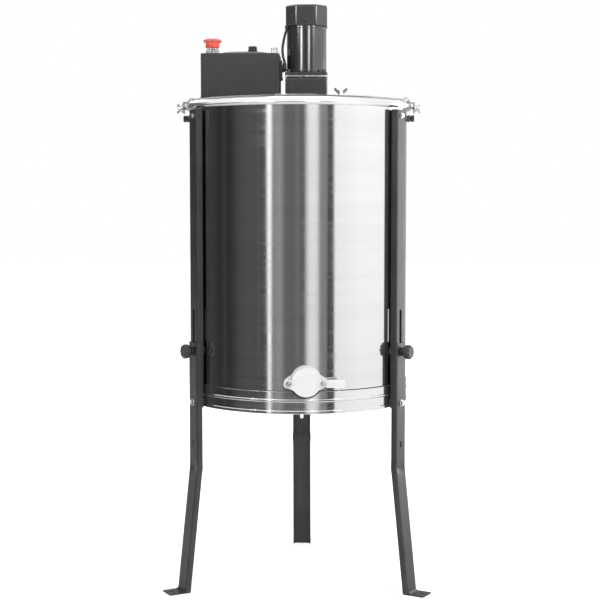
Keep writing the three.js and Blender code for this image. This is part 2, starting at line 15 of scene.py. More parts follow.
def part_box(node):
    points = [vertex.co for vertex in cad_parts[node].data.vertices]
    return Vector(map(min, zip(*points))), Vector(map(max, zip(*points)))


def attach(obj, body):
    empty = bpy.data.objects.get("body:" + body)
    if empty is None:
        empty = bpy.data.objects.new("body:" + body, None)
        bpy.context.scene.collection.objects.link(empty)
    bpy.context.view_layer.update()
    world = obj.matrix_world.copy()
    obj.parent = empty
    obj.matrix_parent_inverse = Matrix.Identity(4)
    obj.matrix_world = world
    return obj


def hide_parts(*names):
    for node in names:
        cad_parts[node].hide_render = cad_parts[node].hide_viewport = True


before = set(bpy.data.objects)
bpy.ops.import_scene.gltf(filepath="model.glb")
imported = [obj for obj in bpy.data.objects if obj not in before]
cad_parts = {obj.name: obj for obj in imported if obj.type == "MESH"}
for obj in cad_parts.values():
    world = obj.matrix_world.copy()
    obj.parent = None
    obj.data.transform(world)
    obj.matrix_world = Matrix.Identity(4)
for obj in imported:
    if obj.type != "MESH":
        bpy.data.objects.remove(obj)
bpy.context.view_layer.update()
scene = bpy.context.scene

MM = 0.001
AXIS = (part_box("cage_shaft")[0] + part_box("cage_shaft")[1]) / 2

# ---------------- camera

CAMERA_DISTANCE = 2.9166
CAMERA_HEIGHT = 0.8046
CAMERA_TURN = 0.0296
CAMERA_PITCH = 0.0766
CAMERA_AIM = 0.00097
CAMERA_LENS = 84.39

camera_data = bpy.data.cameras.new("camera")
camera_data.lens = CAMERA_LENS
camera_data.sensor_width = 36
camera_data.clip_end = 100
camera = bpy.data.objects.new("camera", camera_data)
scene.collection.objects.link(camera)
camera.location = (AXIS.x + CAMERA_DISTANCE * sin(CAMERA_TURN),
    AXIS.y - CAMERA_DISTANCE * cos(CAMERA_TURN), CAMERA_HEIGHT)
camera.rotation_euler = (pi / 2 - CAMERA_PITCH, 0, CAMERA_TURN - CAMERA_AIM)
scene.camera = camera
scene.view_settings.view_transform = "Standard"

# ---------------- mesh makers, in millimetres

# from (across, height, outward) and from (outward, height, across) to (x, y, z)
UPRIGHT = Matrix(((0, 0, 1, 0), (1, 0, 0, 0), (0, 1, 0, 0), (0, 0, 0, 1)))
SIDEWAYS = Matrix(((1, 0, 0, 0), (0, 0, -1, 0), (0, 1, 0, 0), (0, 0, 0, 1)))


def moved(bm, x=0.0, y=0.0, z=0.0, matrix=None):
    bm.transform(Matrix.Translation((x, y, z)) @ (matrix or Matrix.Identity(4)))
    return bm


def upright(bm, z=0.0):
    """Stands up a shape drawn as (across, height, outward) on the machine's +X side."""
    return moved(bm, z=z, matrix=UPRIGHT)


def sideways(bm):
    """Stands up a shape drawn as (outward, height, across)."""
    return moved(bm, matrix=SIDEWAYS)


def spun(bm, degrees):
    """Turns a shape about the upright axis."""
    bm.transform(Matrix.Rotation(radians(degrees), 4, "Z"))
    return bm


def merge(first, *others):
    for other in others:
        mesh = bpy.data.meshes.new("part")
        other.to_mesh(mesh)
        other.free()
        first.from_mesh(mesh)
        bpy.data.meshes.remove(mesh)
    return first


def rounded(points, radius=0.0, steps=4):
    """Closed polygon with rounded corners. A point's third number is its own radius."""
    result = []
    for i, point in enumerate(points):
        here = Vector(point[:2])
        reach = point[2] if len(point) > 2 else radius
        if reach <= 0:
            result.append(tuple(here))
            continue
        back = Vector(points[i - 1][:2]) - here
        ahead = Vector(points[(i + 1) % len(points)][:2]) - here
        half = back.angle(ahead) / 2
        trim = min(reach / tan(half), 0.49 * back.length, 0.49 * ahead.length)
        middle = back.normalized() + ahead.normalized()
        if middle.length < 1e-6:
            result.append(tuple(here))
            continue
        centre = here + middle.normalized() * (trim / cos(half))
        start = here + back.normalized() * trim - centre
        end = here + ahead.normalized() * trim - centre
        first = atan2(start.y, start.x)
        turn = (atan2(end.y, end.x) - first + pi) % (2 * pi) - pi
        for k in range(steps + 1):
            angle = first + turn * k / steps
            result.append((centre.x + start.length * cos(angle),
                centre.y + start.length * sin(angle)))
    return result


def angles(count):
    return [2 * pi * i / count for i in range(count)]


def circle(radius, x=0.0, y=0.0, sides=32):
    return [(x + radius * cos(a), y + radius * sin(a)) for a in angles(sides)]


def arc_points(radius, start, end, steps, x=0.0, y=0.0):
    turns = (start + (end - start) * k / steps for k in range(steps + 1))
    return [(x + radius * cos(a), y + radius * sin(a)) for a in turns]


def slot_outline(half, y0, y1, sides=10):
    """Upright round-ended slot."""
    top = arc_points(half, 0, pi, sides, 0, y1 - half)
    return top + arc_points(half, pi, 2 * pi, sides, 0, y0 + half)


def rectangle(x0, x1, y0, y1, radius=0.0, steps=4):
    return rounded([(x0, y0), (x1, y0), (x1, y1), (x0, y1)], radius, steps)


def wound(loop, clockwise=False):
    area = sum(a[0] * b[1] - b[0] * a[1] for a, b in zip(loop, loop[1:] + loop[:1]))
    return list(loop) if (area < 0) == clockwise else list(reversed(loop))


def inset(loop, distance):
    """Loop moved to its left by a distance."""
    result = []
    for i, here in enumerate(loop):
        back = (Vector(here) - Vector(loop[i - 1])).normalized()
        ahead = (Vector(loop[(i + 1) % len(loop)]) - Vector(here)).normalized()
        normal = Vector((-back.y - ahead.y, back.x + ahead.x))
        shift = normal * (distance / max(0.3, 1 + back.dot(ahead)))
        result.append((here[0] + shift.x, here[1] + shift.y))
    return result


def bridge(bm, rows, closed=True):
    """Faces between rows of vertices; a row of one vertex is a pole."""
    for low, high in zip(rows, rows[1:]):
        count = max(len(low), len(high))
        for i in range(count if closed else count - 1):
            j = (i + 1) % count
            corners = [low[i % len(low)], low[j % len(low)], high[j % len(high)],
                high[i % len(high)]]
            bm.faces.new(list(dict.fromkeys(corners)))


def sealed(bm):
    bmesh.ops.recalc_face_normals(bm, faces=bm.faces)
    return bm


def plate(outline, z0, z1, holes=(), edge=0.5, steps=2):
    """Flat piece with holes and rounded edges."""
    bm = bmesh.new()
    quarter = [(edge * (1 - sin(a)), edge * (1 - cos(a))) for a in (pi / 2 * k / steps
        for k in range(steps + 1))]
    levels = [(back, z0 + rise) for back, rise in quarter] + [(back, z1 - rise) for back,
        rise in reversed(quarter)]
    caps = ([], [])
    for loop in [wound(outline)] + [wound(hole, True) for hole in holes]:
        rows = [[bm.verts.new((x, y, z)) for x, y in inset(loop, back)] for back, z in levels]
        bridge(bm, rows)
        for cap, row in zip(caps, (rows[0], rows[-1])):
            cap.extend(bm.edges.get((a, b)) for a, b in zip(row, row[1:] + row[:1]))
    for cap in caps:
        bmesh.ops.triangle_fill(bm, use_beauty=True, use_dissolve=False, edges=cap)
    return sealed(bm)


def cutter(outline, z0, z1):
    """Sharp-edged plate to carve with."""
    return plate(outline, z0, z1, edge=0.01, steps=1)


def block(x0, x1, y0, y1, z0, z1, radius=0.8, steps=2):
    return plate(rectangle(x0, x1, y0, y1, radius, steps + 1), z0, z1, edge=radius, steps=steps)


def fluted(count, depth, beyond):
    """Ripple for a lathe: grooves around the part outside a radius."""

    def ripple(angle, radius, height):
        return depth * (cos(count * angle) - 1) if radius > beyond else 0.0

    return ripple


def lathe(profile, sides=96, closed=False, ripple=None):
    """Turned piece from (radius, height) points; ripple changes the radius."""
    bm = bmesh.new()
    rows = []
    for radius, height in profile:
        if radius < 1e-6:
            rows.append([bm.verts.new((0, 0, height))])
            continue
        row = []
        for angle in angles(sides):
            reach = radius + (ripple(angle, radius, height) if ripple else 0.0)
            row.append(bm.verts.new((reach * cos(angle), reach * sin(angle), height)))
        rows.append(row)
    bridge(bm, rows + rows[:1] if closed else rows)
    return sealed(bm)


def ring(points, sides, ripple=None, steps=3):
    """Turned ring with a rounded closed section of (radius, height) points."""
    return lathe(rounded(points, steps=steps), sides, True, ripple)


def lathe_x(profile, y=0.0, z=0.0, **options):
    """Turned piece whose axis runs along X: (radius, x) points."""
    return moved(lathe(profile, **options), 0, y, z, UPRIGHT)


def turned(points, radius=0.4, steps=3):
    """Rounded half profile from the axis, round the outside and back to the axis."""
    return rounded([(r, z, 0 if r < 1e-6 else radius) for r, z in points], steps=steps)


def dense(loop, step):
    result = []
    for a, b in zip(loop, loop[1:] + loop[:1]):
        count = max(1, round((Vector(b) - Vector(a)).length / step))
        result += [(a[0] + (b[0] - a[0]) * k / count, a[1] + (b[1] - a[1]) * k / count)
            for k in range(count)]
    return result


def sweep(section, stations, place):
    """Closed section carried through stations; place(x, y, station) gives each point."""
    bm = bmesh.new()
    rows = [[bm.verts.new(place(x, y, station)) for x, y in section] for station in stations]
    bridge(bm, rows)
    for row in (rows[0], rows[-1]):
        edges = [bm.edges.get((a, b)) for a, b in zip(row, row[1:] + row[:1])]
        bmesh.ops.triangle_fill(bm, use_beauty=True, use_dissolve=False, edges=edges)
    return sealed(bm)


def flowing(points, steps=8):
    """Smooth open path through points."""
    spots = [Vector(p) for p in points]
    spots = [2 * spots[0] - spots[1]] + spots + [2 * spots[-1] - spots[-2]]
    path = []
    for a, b, c, d in zip(spots, spots[1:], spots[2:], spots[3:]):
        for k in range(steps):
            t = k / steps
            path.append(0.5 * ((2 * b) + (c - a) * t + (2 * a - 5 * b + 4 * c - d) * t * t
                + (3 * b - a - 3 * c + d) * t ** 3))
    return path + [spots[-2]]


def wire(points, radius, sides=12, closed=False):
    """Round bar along a path."""
    path = [Vector(p) for p in points]
    count = len(path)
    bm = bmesh.new()
    rows = []
    side = None
    for i, here in enumerate(path):
        back = path[i - 1] if closed or i else here
        ahead = path[(i + 1) % count] if closed or i < count - 1 else here
        along = (ahead - back).normalized()
        if side is None:
            side = along.orthogonal().normalized()
        side = (side - along * side.dot(along)).normalized()
        other = along.cross(side)
        rows.append([bm.verts.new(here + radius * (side * cos(a) + other * sin(a)))
            for a in angles(sides)])
    if closed:
        bridge(bm, rows + rows[:1])
    else:
        bridge(bm, rows)
        bm.faces.new(rows[0])
        bm.faces.new(rows[-1])
    return sealed(bm)


def as_object(bm, name="part"):
    mesh = bpy.data.meshes.new(name)
    bm.to_mesh(mesh)
    bm.free()
    obj = bpy.data.objects.new(name, mesh)
    scene.collection.objects.link(obj)
    return obj


def carve(body, *cutters):
    """Body with the cutters taken away."""
    kept = as_object(body)
    tool = as_object(merge(*cutters))
    modifier = kept.modifiers.new("cut", "BOOLEAN")
    modifier.operation = "DIFFERENCE"
    modifier.solver = "EXACT"
    modifier.object = tool
    result = bmesh.new()
    evaluated = kept.evaluated_get(bpy.context.evaluated_depsgraph_get())
    result.from_mesh(evaluated.to_mesh())
    evaluated.to_mesh_clear()
    for obj in (kept, tool):
        mesh = obj.data
        bpy.data.objects.remove(obj)
        bpy.data.meshes.remove(mesh)
    bmesh.ops.dissolve_degenerate(result, dist=1e-4, edges=result.edges)
    return result


def piece(name, bm, material, body, nodes=(), azimuth=90.0, crease=32):
    """A finished piece, brought into the frame, given its material and tied to its CAD body, with
    its CAD nodes hidden.
    """
    bmesh.ops.remove_doubles(bm, verts=bm.verts, dist=1e-4)
    bm.transform(Matrix.Translation((AXIS.x, AXIS.y, 0)) @ Matrix.Diagonal((MM, MM, MM, 1))
        @ Matrix.Rotation(radians(azimuth - 90), 4, "Z"))
    for face in bm.faces:
        face.smooth = True
    for edge in bm.edges:
        edge.smooth = len(edge.link_faces) == 2 and edge.calc_face_angle(pi) < radians(crease)
    obj = as_object(bm, name)
    obj.data.materials.append(material)
    even = obj.modifiers.new("even_shading", "WEIGHTED_NORMAL")
    even.keep_sharp = True
    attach(obj, body)
    if nodes:
        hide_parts(*nodes)


# ---------------- materials


def node_in(tree, kind):
    return tree.nodes.new("ShaderNode" + kind)


def ranged(tree, value, low, high, start=0.35, end=0.65):
    """Socket that maps a value from start and end to low and high."""
    node = node_in(tree, "MapRange")
    sockets = ("From Min", "From Max", "To Min", "To Max")
    for socket, number in zip(sockets, (start, end, low, high)):
        node.inputs[socket].default_value = number
    tree.links.new(value, node.inputs["Value"])
    return node.outputs["Result"]


def mixed(tree, share, low, high, colour=False):
    """Socket that mixes low and high, each a socket or a value, by a share."""
    node = node_in(tree, "Mix")
    node.data_type, first, out = ("RGBA", 6, 2) if colour else ("FLOAT", 2, 0)
    tree.links.new(share, node.inputs["Factor"])
    for socket, value in zip((node.inputs[first], node.inputs[first + 1]), (low, high)):
        if isinstance(value, bpy.types.NodeSocket):
            tree.links.new(value, socket)
        else:
            socket.default_value = value
    return node.outputs[out]


def make_material(name, slot, colour, roughness, metallic, tint, patch, grain, depth,
        stretch=(1, 1, 1), wave=None, **fixed):
    """Procedural finish: cloudy tint and gloss, a fine grain in relief and slow waves.

    The tint is a share of the colour, patch and grain are noise scales, and depth is the relief
    in metres.
    """
    material = bpy.data.materials.new(name)
    material.use_nodes = True
    tree = material.node_tree
    shader = tree.nodes["Principled BSDF"]
    shader.inputs["Metallic"].default_value = metallic
    for socket, value in fixed.items():
        shader.inputs[socket.replace("_", " ")].default_value = value
    place = node_in(tree, "TexCoord").outputs["Object"]

    def pattern(scale, squeeze, detail=4.0):
        mapping = node_in(tree, "Mapping")
        mapping.inputs["Scale"].default_value = squeeze
        texture = node_in(tree, "TexNoise")
        texture.inputs["Scale"].default_value = scale
        texture.inputs["Detail"].default_value = detail
        tree.links.new(place, mapping.inputs["Vector"])
        tree.links.new(mapping.outputs["Vector"], texture.inputs["Vector"])
        return texture.outputs["Fac"]

    def relief(height, distance, under=None):
        node = node_in(tree, "Bump")
        node.inputs["Distance"].default_value = distance
        tree.links.new(height, node.inputs["Height"])
        if under:
            tree.links.new(under, node.inputs["Normal"])
        return node.outputs["Normal"]

    dark = (*(c * (1 - tint) for c in colour), 1)
    light = (*(min(1.0, c * (1 + tint)) for c in colour), 1)
    cloud = ranged(tree, pattern(patch, stretch), 0.0, 1.0)
    tree.links.new(mixed(tree, cloud, dark, light, True), shader.inputs["Base Color"])
    mottle = ranged(tree, pattern(patch * 6, stretch), *roughness)
    tree.links.new(mottle, shader.inputs["Roughness"])
    normal = None
    if wave:
        scale, squeeze, distance = wave
        normal = relief(pattern(scale, squeeze, 2.0), distance)
    tree.links.new(relief(pattern(grain, stretch, 3.0), depth, normal), shader.inputs["Normal"])
    return material


# name, record slot, colour, roughness range, metallic, tint, patch, grain, depth
BARREL = make_material("polished_steel", "barrel_steel", (0.77, 0.775, 0.78), (0.07, 0.13), 1, 0.03,
    6, 260, 6e-6, stretch=(0.3, 0.3, 5.0), wave=(9.0, (1.0, 1.0, 0.12), 6e-5))
RIM = make_material("rim_steel", "barrel_steel", (0.86, 0.862, 0.865), (0.10, 0.18), 1, 0.03, 12,
    500, 6e-6)
FRAME = make_material("satin_steel", "frame_steel", (0.70, 0.705, 0.71), (0.16, 0.26), 1, 0.05, 9,
    420, 1e-5, stretch=(0.15, 3.0, 1.0))
HARDWARE = make_material("bright_hardware", "hardware_steel", (0.78, 0.785, 0.79), (0.12, 0.22), 1,
    0.06, 60, 900, 1e-5)
BLACKENED = make_material("blackened_steel", "hardware_steel", (0.085, 0.086, 0.09), (0.30, 0.42),
    0.9, 0.15, 60, 900, 1e-5)
CAGE = make_material("cage_steel", "cage_steel", (0.66, 0.665, 0.67), (0.2, 0.32), 1, 0.08, 35, 800,
    1.5e-5)
ALUMINIUM = make_material("turned_aluminium", "bright_aluminium", (0.74, 0.745, 0.75), (0.2, 0.32),
    1, 0.08, 50, 1000, 1e-5, stretch=(0.4, 0.4, 3.0))
COLLAR = make_material("ribbed_collar", "bright_aluminium", (0.42, 0.425, 0.43), (0.28, 0.38), 0.9,
    0.08, 50, 1000, 1e-5)
LEG = make_material("leg_enamel", "leg_paint", (0.066, 0.0665, 0.069), (0.34, 0.42), 0.6, 0.12, 14,
    620, 3e-5)
BOX = make_material("box_powder_coat", "box_paint", (0.057, 0.0575, 0.059), (0.50, 0.62), 0, 0.07,
    20, 900, 6e-5, Specular_IOR_Level=0.25)
PANEL = make_material("panel_coat", "box_paint", (0.10, 0.102, 0.106), (0.38, 0.5), 0, 0.08, 30,
    1100, 4e-5)
INK = make_material("dial_ink", "box_paint", (0.72, 0.72, 0.70), (0.4, 0.5), 0, 0.05, 200, 2000,
    1e-5)
MOTOR = make_material("motor_enamel", "motor_paint", (0.12, 0.121, 0.125), (0.10, 0.15), 0.75, 0.06,
    18, 300, 8e-6)
MOTOR_CAST = make_material("motor_cast_paint", "motor_paint", (0.027, 0.0275, 0.029), (0.42, 0.52),
    0, 0.12, 28, 520, 2e-5, Coat_Weight=1.0, Coat_Roughness=0.06)
KNOB = make_material("knob_plastic", "knob_plastic", (0.030, 0.030, 0.032), (0.30, 0.42), 0, 0.2,
    60, 1400, 4e-5)
BLACK = make_material("black_plastic", "black_plastic", (0.022, 0.022, 0.024), (0.34, 0.48), 0, 0.2,
    70, 1500, 3e-5)
CABLE = make_material("cable_sheath", "cable_sheath", (0.020, 0.020, 0.021), (0.42, 0.56), 0, 0.25,
    90, 1200, 5e-5)
WHITE = make_material("white_plastic", "white_plastic", (0.76, 0.76, 0.75), (0.32, 0.42), 0, 0.025,
    40, 900, 3e-5, Subsurface_Weight=0.06, Subsurface_Scale=0.004)
RED = make_material("red_plastic", "button_red", (0.93, 0.135, 0.120), (0.30, 0.40), 0, 0.08, 70,
    1100, 2e-5)
ACRYLIC = make_material("clear_acrylic", "lid_acrylic", (0.96, 0.985, 0.99), (0.0, 0.015), 0, 0.01,
    12, 500, 2e-7, Transmission_Weight=0.92, IOR=1.2)
BOARD = make_material("circuit_board", None, (0.045, 0.20, 0.09), (0.3, 0.5), 0, 0.35, 120, 1500,
    6e-5)
ROTOR = make_material("rotor_iron", None, (0.30, 0.20, 0.14), (0.4, 0.6), 0.6, 0.25, 60, 900, 5e-5)


def dress(node, material):
    """Gives a CAD node that stays in view its finished material."""
    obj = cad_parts[node]
    for place in obj.material_slots:
        place.material = material


# ---------------- small fittings


def screw_head(radius, height, recess):
    """Round screw head with a hexagon socket, standing on z = 0."""
    head = plate(circle(radius, sides=28), 0, height, [circle(recess, sides=6)],
        edge=min(0.6, radius / 6), steps=3)
    return merge(head, plate(circle(radius * 0.8, sides=24), 0.02, height * 0.45, edge=0.1,
        steps=1))


def cross_screw(radius, height):
    """Domed screw head with a cross recess, standing on z = 0."""
    dome = [(0, 0), (radius, 0), (radius, height * 0.35)]
    dome += [(radius * cos(a), height * (0.35 + 0.65 * sin(a))) for a in (0.35, 0.7, 1.05, 1.3)]
    head = lathe(dome + [(0, height)], sides=28)
    arm, wide = radius * 0.55, radius * 0.13
    corner = [(-arm, -wide), (-wide, -wide), (-wide, -arm)]
    cross = corner + [(-y, x) for x, y in corner]
    cross += [(-x, -y) for x, y in cross]
    return carve(head, plate(cross, height * 0.5, height * 1.5, edge=0.02, steps=1))


def washer(inner, outer, z0, z1):
    return plate(circle(outer, sides=36), z0, z1, [circle(inner, sides=28)], edge=(z1 - z0) * 0.3)


def hexagon(flat, z0, z1, bore=None):
    corner = flat / 2 / cos(pi / 6)
    return plate(circle(corner, sides=6), z0, z1, [circle(bore, sides=20)] if bore else (),
        edge=0.35)


def threads(radius, x0, x1, pitch=1.0):
    """Threaded rod profile along an axis."""
    count = max(2, round((x1 - x0) / pitch))
    step = (x1 - x0) / count
    profile = [(0, x0)]
    for i in range(count):
        start = x0 + i * step
        profile += [(radius * 0.86, start), (radius, start + step * 0.5)]
    return profile + [(radius * 0.86, x1), (0, x1)]


def rod(radius, x0, x1, y, z, sides):
    return lathe_x(threads(radius, x0, x1), y, z, sides=sides)


# ---------------- barrel

BARREL_R = 222.0
WALL = 1.5
WALL_Z = (378.4, 985.2)
HOOP_R = BARREL_R + 0.3
HOOP_Z = (376, 420)
RIM_Z = (971, 986)
SEAM_AZIMUTH = 142
GATE_AZIMUTH = 5.25
GATE_Z = 439.5
NOTCH_R = 33.0


def make_barrel():
    inner = BARREL_R - WALL
    heights = [WALL_Z[0] + (WALL_Z[1] - WALL_Z[0]) * k / 48 for k in range(49)]

    def sheet_waves(angle, radius, height):
        fade = max(0.0, min(1.0, (height - 430) / 40, (965 - height) / 25))
        spot = Vector((cos(angle) * 1.6, sin(angle) * 1.6, height / 300))
        return 0.12 * fade * field.noise(spot)

    profile = [(BARREL_R, z) for z in heights] + [(inner, z) for z in reversed(heights)]
    shell = lathe(profile, 288, True, sheet_waves)
    hole = lathe_x([(0, 205), (19.3, 205), (19.3, 240), (0, 240)], z=GATE_Z, sides=48)
    shell = carve(shell, spun(hole, GATE_AZIMUTH - 90))

    def welded(x, y, z):
        return x + 0.05 * sin(z * 1.9), y, z

    bead = [(-0.4, -1.6), (0.15, -1.0), (0.25, 0), (0.15, 1.0), (-0.4, 1.6)]
    bead = dense([(BARREL_R + x, y) for x, y in bead], 3.0)
    seam = sweep(bead, [HOOP_Z[1] + 1 + 5 * k for k in range(110)], welded)
    piece("barrel_wall", merge(shell, spun(seam, SEAM_AZIMUTH - 90)), BARREL, "barrel",
        ["barrel_shell"], crease=24)

    floor = lathe(rounded([(0, 416), (212, 416, 2), (214.6, 410.5, 1), (216.2, 410.5, 0.5),
        (216.2, 418, 0.5), (204, 418, 3), (200, 416.9, 3), (60, 417.6, 20), (0, 417.8)], steps=4),
        160)
    rod_edge = ring([(216.0, 416.6, 0.4), (220.1, 416.6, 0.4), (220.1, 418, 0.5),
        (216.0, 418, 0.5)], 160, steps=2)
    piece("barrel_bottom", merge(floor, rod_edge), BARREL, "barrel", ["barrel_floor"])

    low, high = HOOP_Z
    profile = rounded([(HOOP_R, low, 0.5), (225, low, 1.2), (225, 381.6, 0.8), (223.9, 383, 0.8),
        (223.9, 399.4, 0.8), (225.1, 400.8, 0.9), (225.1, 403.6, 0.9), (223.9, 405, 0.8),
        (223.9, high, 0.7), (HOOP_R, high, 0.3)], steps=4)
    notch = lathe_x([(0, HOOP_R - 0.1), (NOTCH_R, HOOP_R - 0.1), (NOTCH_R, 228), (0, 228)],
        z=GATE_Z, sides=72)
    band = carve(lathe(profile, 288, True), spun(notch, GATE_AZIMUTH - 90))
    piece("base_band", band, BARREL, "barrel", ["base_hoop"], crease=50)
    # The notch is cut round the gate, and its lower part is filled with a black plate: painted
    # shadow, standing in for the contact shadow under the gate.
    lower = arc_points(NOTCH_R, radians(200), radians(340), 36, 0, GATE_Z)
    shade_under_gate = plate(lower, 219.5, 224.4, edge=0.2, steps=1)
    piece("painted_gate_shadow", upright(shade_under_gate), BLACK, "barrel", azimuth=GATE_AZIMUTH)

    # Thin black ring at the top of the base band: painted shadow, standing in for the shadow line
    # at the seam.
    seam_shade = ring([(222.05, high), (223.3, high, 0.2), (222.9, 421.3, 0.3), (222.05, 421.6)], 288,
        steps=2)
    piece("painted_seam_shadow", seam_shade, BLACK, "barrel")

    low, high = RIM_Z
    profile = rounded([(HOOP_R, low, 0.4), (229.6, low, 2.6), (232.2, 975.4, 2.4),
        (230.8, 981, 6.0), (227.0, high, 4.0), (HOOP_R, high, 0.8)], steps=6)
    piece("rim_bead", lathe(profile, 288, True), RIM, "barrel", ["rim_ring"], crease=50)


# ---------------- legs and rails

LEGS = {"left": -60.0, "right": 60.0, "back": 180.0}
SHEET = 2.0
LEG_HALF = 19.5
LEG_OUTER = 241.0
LEG_TOP = 504.5
LEG_BEND = LEG_TOP / 2
LEG_SPLAY = (269.0 - LEG_OUTER) / LEG_BEND
FOOT_TIP = 302.0
RAIL_HALF = 17.0
RAIL_OUTER = 238.6
RAIL_Z = (374, 967)
KNOB_Z = 487.0
BOLT_Z = 384.0
SPARE_Z = 300.0
ANCHOR_Z = 955.0


def channel(half, inner, outer, corner=3.0):
    return rounded([(outer, -half, corner), (outer, half, corner), (inner, half, 0.5),
        (inner, half - SHEET, 0.5), (outer - SHEET, half - SHEET, corner - 1.6),
        (outer - SHEET, SHEET - half, corner - 1.6), (inner, SHEET - half, 0.5),
        (inner, -half, 0.5)], steps=3)


def slot_cutter(half, z0, z1, x0, x1):
    return upright(cutter(slot_outline(half, z0, z1), x0, x1))


def round_cutter(radius, z, x0, x1):
    return upright(cutter(circle(radius, 0, z, 28), x0, x1))


def leg_mesh():
    """Bent channel with its web creased at the bend, on a foot plate with a bolt hole."""
    section = dense(channel(LEG_HALF, LEG_OUTER - 12, LEG_OUTER), 4.0)
    heights = [0, 60, 120, 180, 215]
    heights += [LEG_BEND + offset for offset in (-24, -17, -12, -8, -5, -3, -1, 1, 3, 5, 8, 12, 17,
        24)]
    heights += [292, 330, 370, 420, 460, LEG_TOP]

    def place(x, y, z):
        soft = 4.0
        drop = LEG_BEND - z
        bent = 0.5 * (drop + sqrt(drop * drop + soft * soft)) * LEG_SPLAY
        near = exp(-(drop / 9.0) ** 2)
        web = max(0.0, 1 - (LEG_OUTER - x) / 5.0)
        dent = 2.4 * near * web * max(0.0, 1 - (y / (LEG_HALF - 2)) ** 2)
        bulge = 1.0 * near * (1 - web) * (1 if y > 0 else -1)
        return x + bent - dent, y + bulge, z

    bar = sweep(section, heights, place)
    web = (LEG_OUTER - 6, LEG_OUTER + 6)
    bar = carve(bar, round_cutter(4.3, KNOB_Z, *web), round_cutter(3.4, BOLT_Z, *web),
        slot_cutter(3.5, SPARE_Z - 6.5, SPARE_Z + 6.5, *web))
    root = LEG_OUTER + LEG_SPLAY * LEG_BEND
    foot = plate(rounded([(root - 2, -LEG_HALF, 0), (FOOT_TIP, -LEG_HALF, 3),
        (FOOT_TIP, LEG_HALF, 3), (root - 2, LEG_HALF, 0)]), 0, 2.5, [circle(4.25, 291, 0)],
        edge=0.4)
    arc = [(root - 0.6 + 5 * (1 - sin(a)), 2.2 + 5 * (1 - cos(a)))
        for a in (pi / 2 * k / 5 for k in range(6))]
    fillet = plate([(root - 2, 1.5)] + arc[::-1] + [(root - 2, 7.2)], -LEG_HALF + 2.5,
        LEG_HALF - 2.5, edge=0.05, steps=1)
    return merge(bar, foot, sideways(fillet))


def knob_parts():
    """Fluted clamping knob, its washer, screw and the nut behind the rail."""

    def flutes(angle, radius, height):
        if radius < 10 or height < 250.6:
            return 0.0
        return 0.75 * cos(8 * angle) - 0.75

    head = lathe_x(turned([(0, 241.9), (8.6, 241.9), (8.2, 246), (9.4, 249.4), (12.6, 250.2),
        (14.2, 252.6), (14.2, 260.4), (12.2, 263.2), (6.5, 263.5), (5.6, 262.9), (0, 262.9)], 1.0,
        4), z=KNOB_Z, sides=96, ripple=flutes)
    bolt = rod(3.0, 230.0, 246.0, 0, KNOB_Z, 24)
    nut = upright(hexagon(12.4, 230.2, 236.1, 2.9), KNOB_Z)
    return head, merge(bolt, nut, upright(washer(3.2, 8.4, 241.25, 242.2), KNOB_Z))


def straight(x, y, z):
    return x, y, z


def make_legs():
    for side, azimuth in LEGS.items():
        rail = sweep(channel(RAIL_HALF, 225.2, RAIL_OUTER, 2.8), RAIL_Z, straight)
        reach = (RAIL_OUTER - 5, RAIL_OUTER + 5)
        rail = carve(rail, slot_cutter(4.5, BOLT_Z - 4.5, BOLT_Z + 84.5, *reach),
            slot_cutter(4.5, KNOB_Z - 4.5, KNOB_Z + 84.5, *reach))
        piece(f"rail_{side}", rail, LEG, "barrel", [f"leg_rail_{side}"], azimuth)
        piece(f"bent_leg_{side}", leg_mesh(), LEG, f"leg_{side}", [f"leg_{side}"], azimuth)
        head, bolt = knob_parts()
        piece(f"knob_head_{side}", head, KNOB, f"knob_{side}", [f"leg_knob_{side}"], azimuth)
        piece(f"knob_bolt_{side}", bolt, BLACKENED, f"knob_{side}", azimuth=azimuth)
        stud = merge(rod(3.0, 232.0, 247.5, 0, BOLT_Z, 24),
            upright(hexagon(10.0, 242.4, 246.4, 2.9), BOLT_Z),
            upright(washer(3.1, 6.6, 241.2, 242.3), BOLT_Z), lathe_x(turned([(0, 232.2),
            (5.6, 232.2), (5.6, 236.0), (0, 236.0)], 0.8), z=BOLT_Z, sides=28))
        piece(f"leg_bolt_{side}", stud, HARDWARE, f"leg_{side}", azimuth=azimuth)
        anchor = merge(upright(washer(2.6, 5.4, RAIL_OUTER - 0.1, RAIL_OUTER + 1.0), ANCHOR_Z),
            upright(hexagon(7.6, RAIL_OUTER + 0.9, RAIL_OUTER + 4.0), ANCHOR_Z))
        piece(f"rail_anchor_{side}", anchor, HARDWARE, "barrel", azimuth=azimuth)


# ---------------- crossbar, clamps and lids

TOP = 986.3
BAR_TOP = 989.0
CLAMP_Z = 976.0


BAR_END = 230
BAR_HALF = 52
LID_R = 229
LID_EDGE = 54


